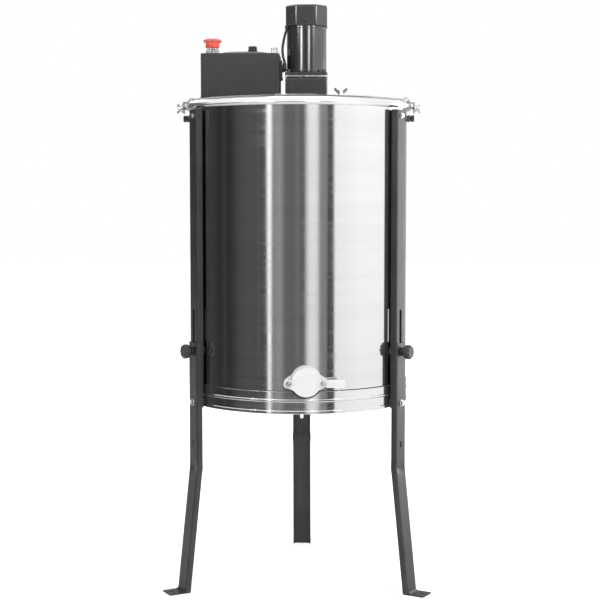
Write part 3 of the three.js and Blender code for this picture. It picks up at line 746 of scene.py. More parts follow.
def make_crossbar():
    side = asin(BAR_HALF / BAR_END)
    outline = arc_points(BAR_END, -side, side, 16) + arc_points(BAR_END, pi - side, pi + side, 16)
    bar = plate(outline, TOP, BAR_TOP, [circle(16, sides=48)], edge=0.7)
    parts = []
    for direction in (-1, 1):
        middle = direction * (BAR_HALF - 1.25)
        parts.append(block(-200, 200, middle - 1.25, middle + 1.25, 950, BAR_TOP - 0.8, 0.8))
        hook = rounded([(196, TOP + 0.2), (236, TOP + 0.2, 1.2), (236, CLAMP_Z - 10, 0.5),
            (238, CLAMP_Z - 10, 0.5), (238, BAR_TOP + 0.2, 3.0), (196, BAR_TOP + 0.2)], steps=5)
        strap = sideways(plate(hook, -22, 22, edge=0.6))
        strap = carve(strap, round_cutter(3.6, CLAMP_Z, 230, 245))
        boss = upright(plate(circle(7, sides=36), 237.6, 242.5, [circle(3.6, sides=24)], edge=0.8),
            CLAMP_Z)
        bow = [(227.5, BAR_TOP - 0.8), *arc_points(7, 0, pi, 14, 220.5, BAR_TOP + 1.5),
            (213.5, BAR_TOP - 0.8)]
        end = merge(strap, boss, wire([(x, 0, z) for x, z in bow], 1.5, 14))
        parts.append(spun(end, 0 if direction > 0 else 180))
    for x in (-185, 185):
        for y in (-32, 32):
            parts.append(moved(screw_head(4.2, 2.4, 1.9), x, y, BAR_TOP - 0.1))
    piece("top_bar", merge(bar, *parts), FRAME, "barrel", ["crossbar"])

    half = [(243.6, -4.2, 1), (246.0, -7.6, 2), (248.4, -10.4, 1.4), (251.2, -9.2, 1.4),
        (250.6, -4.6, 2)]
    wing = half + [(249.0, 0, 3)] + [(x, -z, reach) for x, z, reach in reversed(half)]
    wing = rounded([(x, CLAMP_Z + z, reach) for x, z, reach in wing])
    for name, azimuth in (("left", -90), ("right", 90)):
        screw = merge(sideways(plate(wing, -1.6, 1.6, edge=0.8, steps=3)),
            lathe_x(turned([(0, 242.9), (5.2, 242.9), (4.6, 248.6), (0, 249.4)], 0.8), z=CLAMP_Z,
            sides=36), rod(3.0, 232.6, 243.4, 0, CLAMP_Z, 28))
        piece(f"wing_screw_{name}", screw, HARDWARE, f"clamp_{name}", [f"clamp_screw_{name}"],
            azimuth)
        lug = merge(block(222.8, 229, -8.8, 8.8, 948.2, 961.8, 1.6, 3),
            lathe_x(turned([(0, 228.5), (4.6, 228.5), (4.6, 230.2), (6.6, 230.2), (6.6, 237.0),
            (4.2, 237.6), (0, 237.6)], 0.5), z=955, sides=96, ripple=fluted(16, 0.5, 5.5)))
        piece(f"lug_{name}", lug, BLACKENED, "barrel", [f"rim_lug_{name}"], azimuth)


HINGE_Y = 53.0
HINGE_Z = 992.2


def make_lids():
    reach = asin(LID_EDGE / LID_R)
    for side, azimuth in (("front", 90), ("rear", 270)):
        body = f"lid_{side}"
        outline = rounded([(*p, 0)
            for p in arc_points(LID_R, pi + reach, 2 * pi - reach, 96)][1:-1], steps=2)
        first, last = arc_points(LID_R, pi + reach, 2 * pi - reach, 1)
        outline = [first] + outline + [last]
        grip = block(-40, 40, -212, -206, TOP + 1.0, TOP + 5.2, 1.2, 3)
        lid = merge(plate(outline, TOP + 0.05, TOP + 3.0, edge=0.7), grip)
        piece(f"lid_sheet_{side}", lid, ACRYLIC, body, [f"lid_{side}"], azimuth)

        base = TOP + 3.3
        leaf = plate(rectangle(-60, 60, -68, -HINGE_Y - 3.2, 1.5), base, base + 1.8, edge=0.4)
        parts = []
        for x0, x1 in ((-36.4, -12.6), (12.6, 36.4)):
            parts.append(block(x0, x1, -HINGE_Y - 4, -HINGE_Y - 1.5, base, base + 1.8, 0.4))
            parts.append(lathe_x([(1.5, x0), (2.1, x0), (2.4, x0 + 0.3), (2.4, x1 - 0.3), (2.1, x1),
                (1.5, x1)], -HINGE_Y, HINGE_Z, sides=28, closed=True))
        for x in (-48, -16, 16, 48):
            parts.append(moved(cross_screw(3.0, 1.6), x, -62.5, base + 1.7))
        piece(f"lid_hinge_{side}", merge(leaf, *parts), FRAME, body, [f"lid_leaf_{side}"], azimuth)

        low = BAR_TOP + 0.3
        fixed = [plate(rectangle(-60, 60, -50.3, -48.2, 0.6), low, low + 2.2, edge=0.3)]
        for x0, x1 in ((-60, -37), (-12, 12), (37, 60)):
            fixed.append(block(x0, x1, -HINGE_Y + 1.2, -50, low, low + 2.2, 0.4))
            fixed.append(lathe_x([(0, x0), (2.1, x0), (2.4, x0 + 0.3), (2.4, x1 - 0.3), (2.1, x1),
                (0, x1)], -HINGE_Y, HINGE_Z, sides=28))
        fixed.append(lathe_x([(0, -60), (1.0, -60), (1.0, 60), (0, 60)], -HINGE_Y, HINGE_Z,
            sides=20))
        piece(f"bar_hinge_{side}", merge(*fixed), FRAME, "barrel", [f"crossbar_leaf_{side}"],
            azimuth)


# ---------------- control box

BOX_X = (-197.0, -38.0)
BOX_HALF = 47.5
BOX_Z = (989.3, 1085.0)
ESTOP_X = -177.0
SPEED_X = -94.4
START_X = -50.0
GLAND_Y = -25.0
GLAND_Z = 1055.0


def dome(outline, middle, z0, height, rings=8):
    """Low crowned plate over an outline."""
    bm = bmesh.new()
    centre = Vector(middle)
    rows = []
    levels = [(1.0, z0), (1.0, z0 + 1.2)]
    for k in range(1, rings + 1):
        scale = cos(pi / 2 * k / (rings + 1))
        rise = 1 - scale ** 2.4
        levels.append((0.985 * scale, z0 + 1.2 + (height - 1.2) * rise))
    for scale, z in levels:
        rows.append([bm.verts.new((*(centre + (Vector(p) - centre) * scale), z)) for p in outline])
    rows.append([bm.verts.new((*centre, z0 + height))])
    rows.insert(0, [bm.verts.new((*centre, z0))])
    bridge(bm, rows)
    return sealed(bm)


def make_controls():
    x0, x1 = BOX_X
    z0, z1 = BOX_Z
    case = block(x0, x1, -BOX_HALF, BOX_HALF, z0, z1, 1.8, 3)
    cavity = block(x0 + 2, x1 - 2, 2 - BOX_HALF, BOX_HALF - 2, z0 - 8, z1 - 2, 0.5, 1)
    case = carve(case, cavity)
    for x, radius in ((ESTOP_X, 7.4), (SPEED_X, 4.0), (START_X, 4.2)):
        case = carve(case, cutter(circle(radius, x, 0, 28), z1 - 6, z1 + 4))
    vents = [cutter(rounded([(x - 1.4, 1010), (x + 1.4, 1010), (x + 1.4, 1050), (x - 1.4, 1050)],
        1.3), -55, -40) for x in (-88, -80, -72, -64, -56)]
    case = carve(case, *[sideways(v) for v in vents])
    case = carve(case, lathe_x([(0, x1 - 8), (4, x1 - 8), (4, x1 + 5), (0, x1 + 5)], GLAND_Y,
        GLAND_Z, sides=24))
    piece("control_case", case, BOX, "barrel", ["control_box"])

    screws = []
    for y in (-38, 38):
        for z in (z0 + 9, z1 - 9):
            screws.append(moved(cross_screw(3.2, 1.7), x0 + 0.1, y, z,
                UPRIGHT @ Matrix.Rotation(pi, 4, "Y")))
    piece("case_screws", merge(*screws), HARDWARE, "barrel")

    outline = dense(rectangle(-158, -60, -34, 30, 5, 6), 4.0)
    panel = dome(outline, (-109, -2), z1 + 0.3, 6.2)
    panel = carve(panel, cutter(circle(3.5, SPEED_X, 0, 24), z1 - 4, z1 + 14))
    piece("panel_dome", panel, PANEL, "barrel", ["control_panel"])

    ticks = []
    for k in range(11):
        tick = block(11.2, 14.4 if k % 5 else 15.8, -0.45, 0.45, 0, 0.5, 0.1, 1)
        ticks.append(moved(spun(tick, 225 - 27 * k), SPEED_X, 0, z1 + 6.15))
    piece("dial_marks", merge(*ticks), INK, "barrel")

    collar = ring([(7.35, z1 + 0.3), (13.4, z1 + 0.3, 0.5), (13.4, 1095.0, 0.7),
        (11.5, 1095.0, 0.3), (11.5, 1103, 0.5), (7.35, 1103, 0.3)], 176, fluted(16, 0.8, 11.39))
    piece("stop_collar", moved(collar, ESTOP_X), COLLAR, "barrel", ["estop_collar"])

    head = lathe(rounded([(0, 1079), (6.4, 1079, 0.5), (6.4, 1108, 0.8), (12.1, 1108, 0.8),
        (12.1, 1099.6, 0.6), (14.2, 1099.6, 0.7), (14.5, 1110.4, 0.8), (18.5, 1111.2, 0.8),
        (19.0, 1112.4, 0.7), (18.7, 1115.6, 1.4), (12.6, 1117.8, 2.0), (11.8, 1117.3, 0.6),
        (0, 1117.7)], steps=4), 96)
    piece("stop_head", moved(head, ESTOP_X), RED, "estop", ["estop_head"], crease=40)

    core = lathe(turned([(0, 1078), (3, 1078), (3, 1092.4), (9.5, 1092.4), (9.5, 1094.6),
        (8.9, 1095.4), (8.7, 1101.6), (7.6, 1102.4), (0, 1102.4)], 0.4), 144,
        ripple=fluted(12, 0.9, 8.6))
    pointer = block(1.2, 8.2, -0.6, 0.6, 1102.1, 1102.75, 0.2, 1)
    spun(pointer, 225)
    piece("speed_dial", moved(core, SPEED_X), KNOB, "speed_knob", ["speed_knob"])
    cap = lathe(turned([(0, 1102.3), (6.6, 1102.3), (6.6, 1102.9), (0, 1102.9)], 0.2), 48)
    piece("speed_dial_cap", moved(cap, SPEED_X), ALUMINIUM, "speed_knob")
    piece("speed_pointer", moved(pointer, SPEED_X, 0, 0.5), INK, "speed_knob")

    button = lathe(turned([(0, 1076), (3.6, 1076), (3.6, 1088.4), (6.4, 1088.4), (6.4, 1098.8),
        (5.4, 1099.8), (4.6, 1099.5), (0, 1099.4)], 0.4), 72, ripple=fluted(20, 0.25, 6.2))
    piece("start_cap", moved(button, START_X), ALUMINIUM, "start_button", ["start_button"])
    bezel = ring([(4.4, z1), (8.2, z1, 0.2), (8.2, z1 + 0.9, 0.4), (4.4, z1 + 0.9, 0.2)], 64)
    piece("start_bezel", moved(bezel, START_X), HARDWARE, "barrel")


def make_wiring():
    x1 = BOX_X[1]
    cover = plate(rectangle(-39, -11, 1031, 1071, 2.5), x1 + 0.2, x1 + 5.5,
        [circle(4, GLAND_Y, GLAND_Z, 24)], edge=1.0, steps=3)
    cover = upright(cover)
    screws = [moved(cross_screw(2.4, 1.2), x1 + 5.4, y, z, UPRIGHT) for y,
        z in ((-35, 1035), (-15, 1035))]
    piece("socket_cover", merge(cover, *screws), BLACK, "barrel", ["socket_plate"])

    nut = lathe_x(turned([(0, x1 + 5.7), (7.3, x1 + 5.7), (7.3, x1 + 10.4), (5.4, x1 + 12.6),
        (5.2, x1 + 14.2), (0, x1 + 14.4)], 0.6), GLAND_Y, GLAND_Z, sides=96,
        ripple=fluted(12, 0.35, 6.6))
    boot = lathe(turned([(0, GLAND_Z), (4.2, GLAND_Z), (4.2, 1062), (3.1, 1066.5), (2.7, 1067.5),
        (0, 1067.5)], 0.4), 40)
    piece("gland_nut", merge(nut, moved(boot, -27.8, GLAND_Y)), BLACK, "barrel", ["cable_gland"])

    route = flowing([(-27.8, -25, 1064.5), (-28.1, -25, 1070), (-31, -24.5, 1080),
        (-32, -22.5, 1098), (-27.6, -20.5, 1122), (-23.5, -19.5, 1135), (-23.2, -19.5, 1140.5)])
    grommet = lathe(turned([(0, 1134.5), (3.4, 1134.5), (4.2, 1138.0), (4.2, 1142.2), (0, 1142.2)],
        0.6), 36)
    piece("motor_lead", wire(route, 2.6, 20), CABLE, "barrel", ["motor_cable"], crease=60)
    piece("lead_grommet", moved(grommet, -23.2, -19.5), BLACK, "barrel")

    face = plate(rectangle(-150, -100, 1008, 1042, 3), -53.5, -47.7,
        [rectangle(-143, -107, 1014, 1036, 4)], edge=1.0, steps=3)
    back = plate(rectangle(-144, -106, 1013, 1037, 3), -50.0, -47.75, edge=0.2, steps=1)
    pins = [block(x - 3, x + 3, z - 1, z + 1, -53.0, -49.0, 0.4) for x,
        z in ((-135, 1023), (-115, 1023), (-125, 1029))]
    inlet = merge(sideways(face), sideways(back))
    piece("inlet_socket", inlet, BLACK, "barrel", ["mains_inlet"])
    piece("inlet_pins", merge(*[sideways(p) for p in pins]), HARDWARE, "barrel")


# ---------------- motor and gearbox

MOTOR_X = 16.5
MOTOR_R = 41.0
FAN_Z = 1141.0
TOP_Z = 1183.0


def octagon(half, flat, chamfer):
    """Eight-sided outline whose corners are cut off by narrow flats."""
    corners = [(half, flat), (flat, half), (-flat, half), (-half, flat)]
    return rounded([(x, y, chamfer) for x, y in corners + [(-x, -y) for x, y in corners]], steps=1)


def make_motor():
    cover = plate(octagon(42, 20.6, 3.0), FAN_Z - 5, TOP_Z, edge=4.2, steps=5)
    hollow = plate(octagon(39.6, 19.4, 2.4), FAN_Z - 9, TOP_Z - 3.6, edge=1.0)
    below = block(-60, 60, -60, 60, FAN_Z - 30, FAN_Z, 0.1, 1)
    cover = carve(carve(cover, below), hollow)
    vents = []
    for reach, count in ((22, 8), (31, 12)):
        for k in range(count):
            angle = 2 * pi * (k + (0.5 if count == 12 else 0)) / count
            vents.append(cutter(circle(4 if count == 8 else 2.2, reach * cos(angle),
                reach * sin(angle), 20), TOP_Z - 12, TOP_Z + 4))
    cover = carve(cover, *vents)
    lip = plate(octagon(42.25, 20.7, 3.4), FAN_Z, FAN_Z + 2.6, [octagon(40, 19.6, 2.4)], edge=0.8,
        steps=3)
    piece("fan_hood", moved(merge(cover, lip), MOTOR_X), MOTOR_CAST, "barrel", ["fan_cover"],
        crease=15)
    hood_screws = [moved(cross_screw(2.8, 1.5), MOTOR_X, -41.8, 1150,
        Matrix.Rotation(pi / 2, 4, "X")), moved(cross_screw(2.8, 1.5), MOTOR_X, 41.8, 1150,
        Matrix.Rotation(-pi / 2, 4, "X"))]
    piece("hood_screws", merge(*hood_screws), BLACKENED, "barrel")

    can = ring([(5, 1047.3), (MOTOR_R, 1047.3, 0.8), (MOTOR_R, 1052, 0.5),
        (MOTOR_R - 0.5, 1052.6, 0.4), (MOTOR_R - 0.5, 1136.0, 0.4), (MOTOR_R, 1136.6, 0.5),
        (MOTOR_R, 1140.7, 0.8), (5, 1140.7), (5, 1136), (MOTOR_R - 3, 1136), (MOTOR_R - 3, 1051),
        (5, 1051)], 160)
    piece("motor_can", moved(can, MOTOR_X), MOTOR, "barrel", ["motor_body"])

    flange = plate(rectangle(-43, 43, -43, 43, 5), 1041, 1047, [circle(10)], edge=0.9, steps=3)
    piece("motor_foot", moved(flange, MOTOR_X), MOTOR_CAST, "barrel", ["motor_flange"])
    bolts = []
    for x in (-35.6, 35.6):
        for y in (-35.6, 35.6):
            bolts.append(moved(screw_head(4.2, 5.4, 2.1), x, y, 1047.6))
            bolts.append(moved(washer(2.6, 5.4, 1046.8, 1047.9), x, y))
    piece("motor_bolts", moved(merge(*bolts), MOTOR_X), BLACKENED, "barrel")

    shim = plate(rectangle(-42.6, 42.6, -42.6, 42.6, 4.6), 1037.3, 1040.7, [circle(7)], edge=0.6,
        steps=3)
    piece("gearbox_lid", moved(shim, MOTOR_X), ALUMINIUM, "barrel", ["gearbox_plate"])

    housing = block(-42.5, 42.5, -42.5, 42.5, 992.6, 1037, 4.0, 4)
    inside = block(-38, 38, -38, 38, 997.1, 1050, 1, 1)
    housing = carve(housing, inside)
    housing = carve(housing, cutter(circle(7.5, -MOTOR_X, 0, 32), 985, 1000))
    piece("gearbox_case", moved(housing, MOTOR_X), MOTOR_CAST, "barrel", ["gearbox_housing"])

    mount = plate(rectangle(-29, 104, -46, 46, 4), 989.3, 992.3, [circle(9, sides=40)], edge=0.6)
    stud = moved(lathe(threads(3.0, 991.5, 1010), 28), 87)
    piece("mount_plate", merge(mount, stud), FRAME, "barrel", ["motor_plate"])
    bolts = [moved(merge(hexagon(8, 992.2, 996.6), washer(3, 6.2, 992.2, 993.2)), x, y)
        for x in (66, 97) for y in (-36, 36)]
    piece("mount_bolts", merge(*bolts), HARDWARE, "barrel")

    ear = rounded([(2.6, 1003.4, 1), (7.4, 1006.4, 4), (11.0, 1010.4, 3), (14.2, 1013.6, 2),
        (14.2, 1018.4, 2), (9.6, 1018.2, 2.2), (6.8, 1014.4, 3), (2.6, 1013.4, 1)], steps=4)
    ears = [plate(ear, -1.4, 1.4, edge=0.8, steps=3), plate([(-x, z) for x, z in ear], -1.4, 1.4,
        edge=0.8, steps=3)]
    hub = ring([(3.2, 992.7), (6.2, 992.7, 0.5), (5.2, 1004, 0.8), (4.6, 1012.6, 0.8),
        (3.2, 1012.6)], 48)
    nut = merge(hub, *[sideways(e) for e in ears])
    piece("keeper_nut", moved(nut, 87), HARDWARE, "wing_nut", ["wing_nut"])


# ---------------- spinning cage

CAGE_LOW = 449.0
CAGE_HIGH = 941.0
POCKET_IN = 106.0
POCKET_OUT = 151.0
POCKET_HALF = 120.0


def frame_ring(z, radius=2.8):
    """Round-bar rectangle of one comb pocket, at a height."""
    grow = 2.8
    path = rectangle(POCKET_IN - grow, POCKET_OUT + grow, -POCKET_HALF - grow, POCKET_HALF + grow,
        6, 5)
    return wire([(x, y, z) for x, y in path], radius, 12, closed=True)


def spider(z0, with_floor):
    z = z0 + 3
    parts = [plate(circle(20, sides=48), z0, z0 + 6, [circle(8.3, sides=32)], edge=0.8, steps=3)]
    for k in range(3):
        group = [frame_ring(z), wire([(18, 0, z), (POCKET_IN - 2, 0, z)], 2.8, 14)]
        for y in (-9, 9):
            group.append(wire([(17, y * 0.6, z), (POCKET_IN - 2, y * 3.2, z)], 2.4, 12))
        if with_floor:
            for y in (-60, -20, 20, 60):
                group.append(wire([(POCKET_IN - 2, y, z - 1.2), (POCKET_OUT + 2, y, z - 1.2)], 1.6,
                    10))
        group = merge(*group)
        spun(group, 120 * k - 90)
        link = wire([(154, -33, z), (158, 0, z), (154, 33, z)], 2.6, 12)
        spun(link, 120 * k - 30)
        parts += [group, link]
    return merge(*parts)


def mesh_panel(x, z0, z1, pitch, radius=0.75):
    """Welded wire screen with a heavier border."""
    parts = [wire([(x, y, z) for y, z in rectangle(-POCKET_HALF + 2, POCKET_HALF - 2, z0 + 1.6,
        z1 - 1.6, 4, 4)], 1.6, 8, closed=True)]
    columns = round(2 * POCKET_HALF / pitch)
    rows = round((z1 - z0) / pitch)
    for i in range(1, columns):
        y = -POCKET_HALF + 2 * POCKET_HALF * i / columns
        parts.append(wire([(x - radius * 0.8, y, z0 + 1.6), (x - radius * 0.8, y, z1 - 1.6)],
            radius, 6))
    for j in range(1, rows):
        z = z0 + (z1 - z0) * j / rows
        parts.append(wire([(x + radius * 0.8, -POCKET_HALF + 2, z),
            (x + radius * 0.8, POCKET_HALF - 2, z)], radius, 6))
    return merge(*parts)


def make_cage():
    shaft = lathe(turned([(0, 440), (8, 440), (8, 961), (0, 961)], 1.0), 64)
    piece("main_shaft", shaft, CAGE, "cage", ["cage_shaft"])
    sleeve = ring([(8.4, 944, 0.4), (13, 944, 1), (13, 979, 2), (11, 981, 0.8), (6.4, 981, 0.4),
        (6.4, 961.5), (8.4, 961.5)], 72)
    grubs = []
    for z in (951, 973):
        grubs.append(moved(screw_head(3.0, 1.6, 1.4), 12.4, 0, z, UPRIGHT))
    piece("shaft_sleeve", merge(sleeve, *grubs), CAGE, "cage", ["coupling_sleeve"])
    bearing = lathe(rounded([(0, 418.3), (26, 418.3, 0.6), (26, 421, 1.0), (22, 424, 1.5),
        (22, 440, 1.2), (16, 447.4, 1.2), (8.5, 447.4, 0.4), (8.5, 439.6), (0, 439.6)], steps=3),
        72)
    piece("floor_bearing", bearing, WHITE, "barrel", ["bottom_bearing"])

    piece("spider_low", spider(CAGE_LOW, True), CAGE, "cage", ["cage_bottom_spider"])
    piece("spider_high", spider(CAGE_HIGH - 6, False), CAGE, "cage", ["cage_top_spider"])
    z0, z1 = CAGE_LOW + 6, CAGE_HIGH - 6
    for k, side in enumerate(("front", "right", "left")):
        piece(f"outer_screen_{side}", mesh_panel(152.5, z0, z1, 13), CAGE, "cage",
            [f"cage_screen_{side}"], 120 * k)
    inner = []
    for k in range(3):
        panel = mesh_panel(104.5, z0, z1, 20)
        spun(panel, 120 * k - 90)
        inner.append(panel)
        for z in (z0 + 60, z1 - 60):
            link = wire([(152, -33, z), (157.4, -12, z), (157.4, 12, z), (152, 33, z)], 2.4, 10)
            spun(link, 120 * k - 30)
            inner.append(link)
    piece("inner_basket", merge(*inner), CAGE, "cage", ["cage_inner_basket"])
    dress("output_gear", CAGE)
    dress("motor_armature", ROTOR)
    dress("driver_board", BOARD)


# ---------------- honey gate

GATE_SCREWS = 33.6
GATE_SCREW_Z = 436.6


def hull_of_circles(spots, steps=28):
    """Outline around circles (x, y, radius), as a rubber band would run."""
    points = []
    for x, y, radius in spots:
        points += circle(radius, x, y, steps)
    points = sorted(set((round(x, 5), round(y, 5)) for x, y in points))

    def half(sequence):
        chain = []
        for p in sequence:
            while len(chain) > 1 and ((chain[-1][0] - chain[-2][0]) * (p[1] - chain[-2][1])
                                      - (chain[-1][1] - chain[-2][1]) * (p[0] - chain[-2][0])) <= 0:
                chain.pop()
            chain.append(p)
        return chain[:-1]

    return half(points) + half(points[::-1])


def make_gate():
    body = plate(circle(30, 0, GATE_Z + 2, 96), 224.8, 230.8, [circle(16, 0, GATE_Z, 48)], edge=1.0,
        steps=3)
    ears = plate(hull_of_circles([(-GATE_SCREWS, GATE_SCREW_Z + 2, 9.5), (0, GATE_Z, 26.5),
        (GATE_SCREWS, GATE_SCREW_Z + 2, 9.5)]), 224.8, 230.6, [circle(16.4, 0, GATE_Z, 48)],
        edge=1.0, steps=3)
    tube = lathe_x(rounded([(16, 204), (19, 204, 0.8), (19, 226), (16, 226)], steps=3), 0, GATE_Z,
        sides=72, closed=True)
    collar = []
    for x in (206.5, 209.5, 212.5, 215.5):
        collar.append(lathe_x(rounded([(18.6, x), (19.25, x + 0.5, 0.2), (19.25, x + 1.2, 0.2),
            (18.6, x + 1.7)], steps=2), 0, GATE_Z, sides=72, closed=True))
    flange = merge(upright(body), upright(ears), tube, *collar)
    piece("gate_flange", flange, WHITE, "barrel", ["gate_body"], GATE_AZIMUTH, crease=40)

    disc = plate(circle(28.6, 0, GATE_Z, 96), 231.1, 236.1, edge=1.2, steps=4)
    grip = 7.7
    low, high = GATE_SCREW_Z - grip, GATE_SCREW_Z + grip
    notch = 3.6
    outline = rounded([(-GATE_SCREWS - 10.3, low, grip), (GATE_SCREWS - notch - 3.0, low, 1.0),
        (GATE_SCREWS - notch, low + 2, 1.2), (GATE_SCREWS - notch, GATE_SCREW_Z + notch, notch),
        (GATE_SCREWS + notch, GATE_SCREW_Z + notch, notch), (GATE_SCREWS + notch, low + 2, 1.2),
        (GATE_SCREWS + notch + 3.0, low, 1.0), (75.2, low, 5.5), (75.2, high, 5.5),
        (-GATE_SCREWS - 10.3, high, grip)], steps=8)
    bar = plate(outline, 231.1, 235.9, [circle(3.4, -GATE_SCREWS, GATE_SCREW_Z, 28)], edge=1.0,
        steps=3)
    rib = plate(hull_of_circles([(47, GATE_SCREW_Z, 2.2), (69, GATE_SCREW_Z, 2.2)], 20), 235.6,
        236.6, edge=0.5)
    slide = merge(upright(disc), upright(bar), upright(rib))
    piece("gate_slide", slide, WHITE, "gate", ["gate_plate"], GATE_AZIMUTH, crease=40)

    for side, body_name, node in ((-1, "barrel", "gate_pivot_screw"),
            (1, "gate_clamp", "gate_clamp_screw")):
        y = side * GATE_SCREWS
        screw = merge(moved(screw_head(4.6, 3.4, 2.2), 237.1, y, GATE_SCREW_Z, UPRIGHT),
            moved(washer(3.0, 5.8, 236.3, 237.3), 0, y, GATE_SCREW_Z, UPRIGHT),
            rod(2.9, 226.2, 237.4, y, GATE_SCREW_Z, 24))
        piece(node + "_steel", screw, HARDWARE, body_name, [node], GATE_AZIMUTH)


# ---------------- studio

WALL_RADIUS = 2.0
WALL_TOP = 1.62
WALL_BASE = 0.026
WALL_MOTTLE = 0.06
# panels of light around the machine: centre, half width and soft edge, in degrees from the front
# towards the right, and brightness
PANELS = (
    (-27.3, 0.9, 3.2, 1.05),
    (-21.5, 3.0, 8.0, 0.25),
    (-46.0, 9.0, 16.0, 0.055),
    (-7.5, 7.0, 8.0, 0.10),
    (4.0, 3.0, 5.0, 0.06),
    (14.8, 2.2, 7.0, 0.92),
    (24.5, 4.5, 3.0, 0.24),
    (33.5, 1.0, 2.0, 0.06),
    (75.0, 37.0, 3.2, 1.08),
    (78.0, 10.0, 28.0, 0.10),
    (126.0, 9.0, 8.0, 3.7),
    (180.0, 22.0, 24.0, 0.45),
    (-128.0, 5.0, 12.0, 0.10),
)
# above the barrel: azimuth, half width and brightness of the soft tubes that the motor reflects,
# and the azimuths of the hard ones that the fan hood's corners reflect, which start higher up
MOTOR_LEVEL = 1.2
HOOD_LEVEL = 1.39
SOFT_TUBES = ((-28.8, 8.5, 12.5), (15.2, 7.0, 9.5))
HOOD_TUBES = (-47, 43)
HOOD_TUBE_HALF = 4.5
HOOD_TUBE_GLOW = 13.0

FLOOR_GLOW = (0.64, 0.92)  # next to the machine and far from it
FLOOR_FADE = (0.7, 3.2)
FLOOR_REFLECTED = 0.12
SKY_DIFFUSE = 0.20
SKY_REFLECTED = (0.75, 1.1)  # at the horizon and from halfway up


def clamp(value):
    return min(1.0, max(0.0, value))


def glow(azimuth, height):
    """Brightness of the studio wall at an azimuth and a height."""
    lower = clamp((1.0 - height) / 0.8)
    level = WALL_BASE + WALL_MOTTLE * abs(field.noise(Vector((azimuth * 0.30, 3.0, 0.0))))
    for centre, half, soft, bright in PANELS:
        away = abs((azimuth - centre + 180) % 360 - 180)
        reach = soft * (1 - 0.45 * lower) if soft < 4 else soft
        share = clamp(1 - (away - half) / reach)
        level += bright * share * share * (3 - 2 * share) * (1 - 0.12 * lower)
    low_left = clamp((0.60 - height) / 0.35) * max(0.0, 1 - abs(azimuth + 124) / 22)
    level += 1.3 * low_left * low_left
    if height > MOTOR_LEVEL:
        tubes = sum(bright * max(0.0, 1 - abs(azimuth - at) / half) for at, half,
            bright in SOFT_TUBES)
        above = 1.15 if 36 < azimuth < 150 else max(level, 0.14)
        if height > HOOD_LEVEL:
            tubes += HOOD_TUBE_GLOW * sum(abs(azimuth - at) < HOOD_TUBE_HALF for at in HOOD_TUBES)
        level += min(1.0, (height - MOTOR_LEVEL) / 0.05) * (above + tubes - level)
    return level


def around(azimuth, distance, height):
    """Place at an azimuth and a distance from the machine's axis, in metres."""
    turn = radians(azimuth)
    return Vector((AXIS.x + distance * sin(turn), AXIS.y - distance * cos(turn), height))


def make_wall():
    """Cylinder around the machine that only reflections see."""
    columns, rows = 720, 26
    azimuths = [360 * i / columns for i in range(columns)]
    heights = [WALL_TOP * j / rows for j in range(rows + 1)]
    bm = bmesh.new()
    bridge(bm, [[bm.verts.new(around(azimuth, WALL_RADIUS, z)) for azimuth in azimuths]
        for z in heights])
    wall = as_object(bm, "studio_wall")
    levels = wall.data.attributes.new("glow", "FLOAT", "POINT")
    values = [glow((azimuth + 180) % 360 - 180, z) for z in heights for azimuth in azimuths]
    levels.data.foreach_set("value", values)
    paint = bpy.data.materials.new("studio_wall")
    paint.use_nodes = True
    tree = paint.node_tree
    tree.nodes.clear()
    out = node_in(tree, "OutputMaterial")
    emission = node_in(tree, "Emission")
    source = node_in(tree, "Attribute")
    source.attribute_name = "glow"
    tree.links.new(source.outputs["Fac"], emission.inputs["Strength"])
    tree.links.new(emission.outputs[0], out.inputs["Surface"])
    paint.cycles.emission_sampling = "NONE"
    wall.data.materials.append(paint)
    for ray in ("camera", "diffuse", "shadow", "transmission", "volume_scatter"):
        setattr(wall, f"visible_{ray}", False)


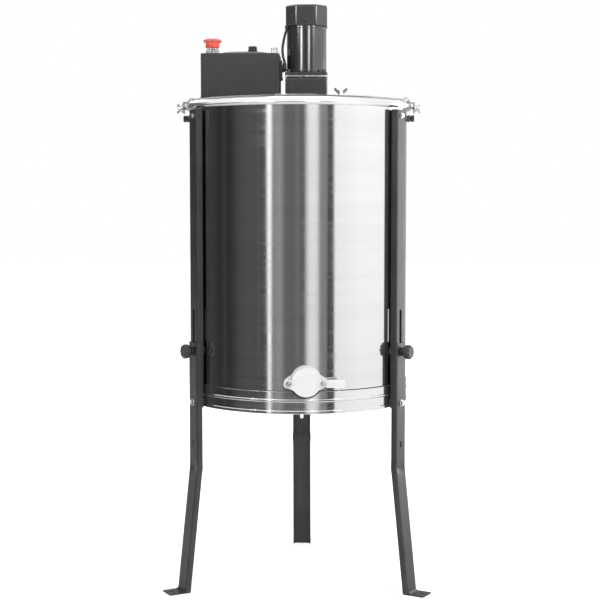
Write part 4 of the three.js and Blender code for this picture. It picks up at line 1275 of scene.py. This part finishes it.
def make_floor():
    """Pale floor whose own light grows with distance, so that it meets the white background."""
    bm = bmesh.new()
    bmesh.ops.create_grid(bm, x_segments=1, y_segments=1, size=14)
    floor = as_object(bm, "floor")
    pale = make_material("floor", None, (0.75, 0.75, 0.745), (0.75, 0.85), 0, 0.01, 2, 60, 2e-5,
        Emission_Color=(1, 1, 1, 1))
    tree = pale.node_tree
    reach = node_in(tree, "VectorMath")
    reach.operation = "LENGTH"
    tree.links.new(node_in(tree, "TexCoord").outputs["Object"], reach.inputs[0])
    fade = ranged(tree, reach.outputs["Value"], *FLOOR_GLOW, *FLOOR_FADE)
    path = node_in(tree, "LightPath")
    share = mixed(tree, path.outputs["Is Glossy Ray"], fade, FLOOR_REFLECTED)
    tree.links.new(share, tree.nodes["Principled BSDF"].inputs["Emission Strength"])
    floor.data.materials.append(pale)


def make_world():
    """White to the camera and through clear lids, dimmer in reflections and as fill light."""
    world = bpy.data.worlds.new("studio")
    scene.world = world
    world.use_nodes = True
    tree = world.node_tree
    background = tree.nodes["Background"]
    path = node_in(tree, "LightPath")
    place = node_in(tree, "TexCoord")
    split = node_in(tree, "SeparateXYZ")
    tree.links.new(place.outputs["Generated"], split.inputs[0])
    sky = ranged(tree, split.outputs["Z"], *SKY_REFLECTED, 0.0, 0.5)
    level = mixed(tree, path.outputs["Is Glossy Ray"], SKY_DIFFUSE, sky)
    level = mixed(tree, path.outputs["Is Transmission Ray"], level, 1.0)
    level = mixed(tree, path.outputs["Is Camera Ray"], level, 1.0)
    tree.links.new(level, background.inputs["Strength"])
    background.inputs["Color"].default_value = (1, 1, 1, 1)


# azimuth, height, distance and size in metres, power
LAMPS = {
    "key_right": (62, 1.5, 2.4, 1.3, 38),
    "fill_front": (-25, 1.3, 3.2, 1.6, 14),
    "fill_back": (190, 1.6, 2.8, 1.6, 30),
    "top": (20, 3.0, 0.4, 1.8, 36),
}
LAMP_AIM = Vector((AXIS.x, AXIS.y, 0.65))


def make_lamps():
    """Soft lamps that light the machine but don't show in it."""
    for name, (azimuth, height, distance, size, power) in LAMPS.items():
        data = bpy.data.lights.new(name, "AREA")
        data.shape = "DISK"
        data.size = size
        data.energy = power
        lamp = bpy.data.objects.new(name, data)
        scene.collection.objects.link(lamp)
        lamp.location = around(azimuth, distance, height)
        lamp.rotation_euler = (LAMP_AIM - lamp.location).to_track_quat("-Z", "Y").to_euler()
        lamp.visible_glossy = False
        lamp.visible_camera = False


for make in (
    make_barrel, make_legs, make_crossbar, make_lids, make_controls, make_wiring, make_motor,
    make_cage, make_gate, make_wall, make_floor, make_world, make_lamps,
):
    make()
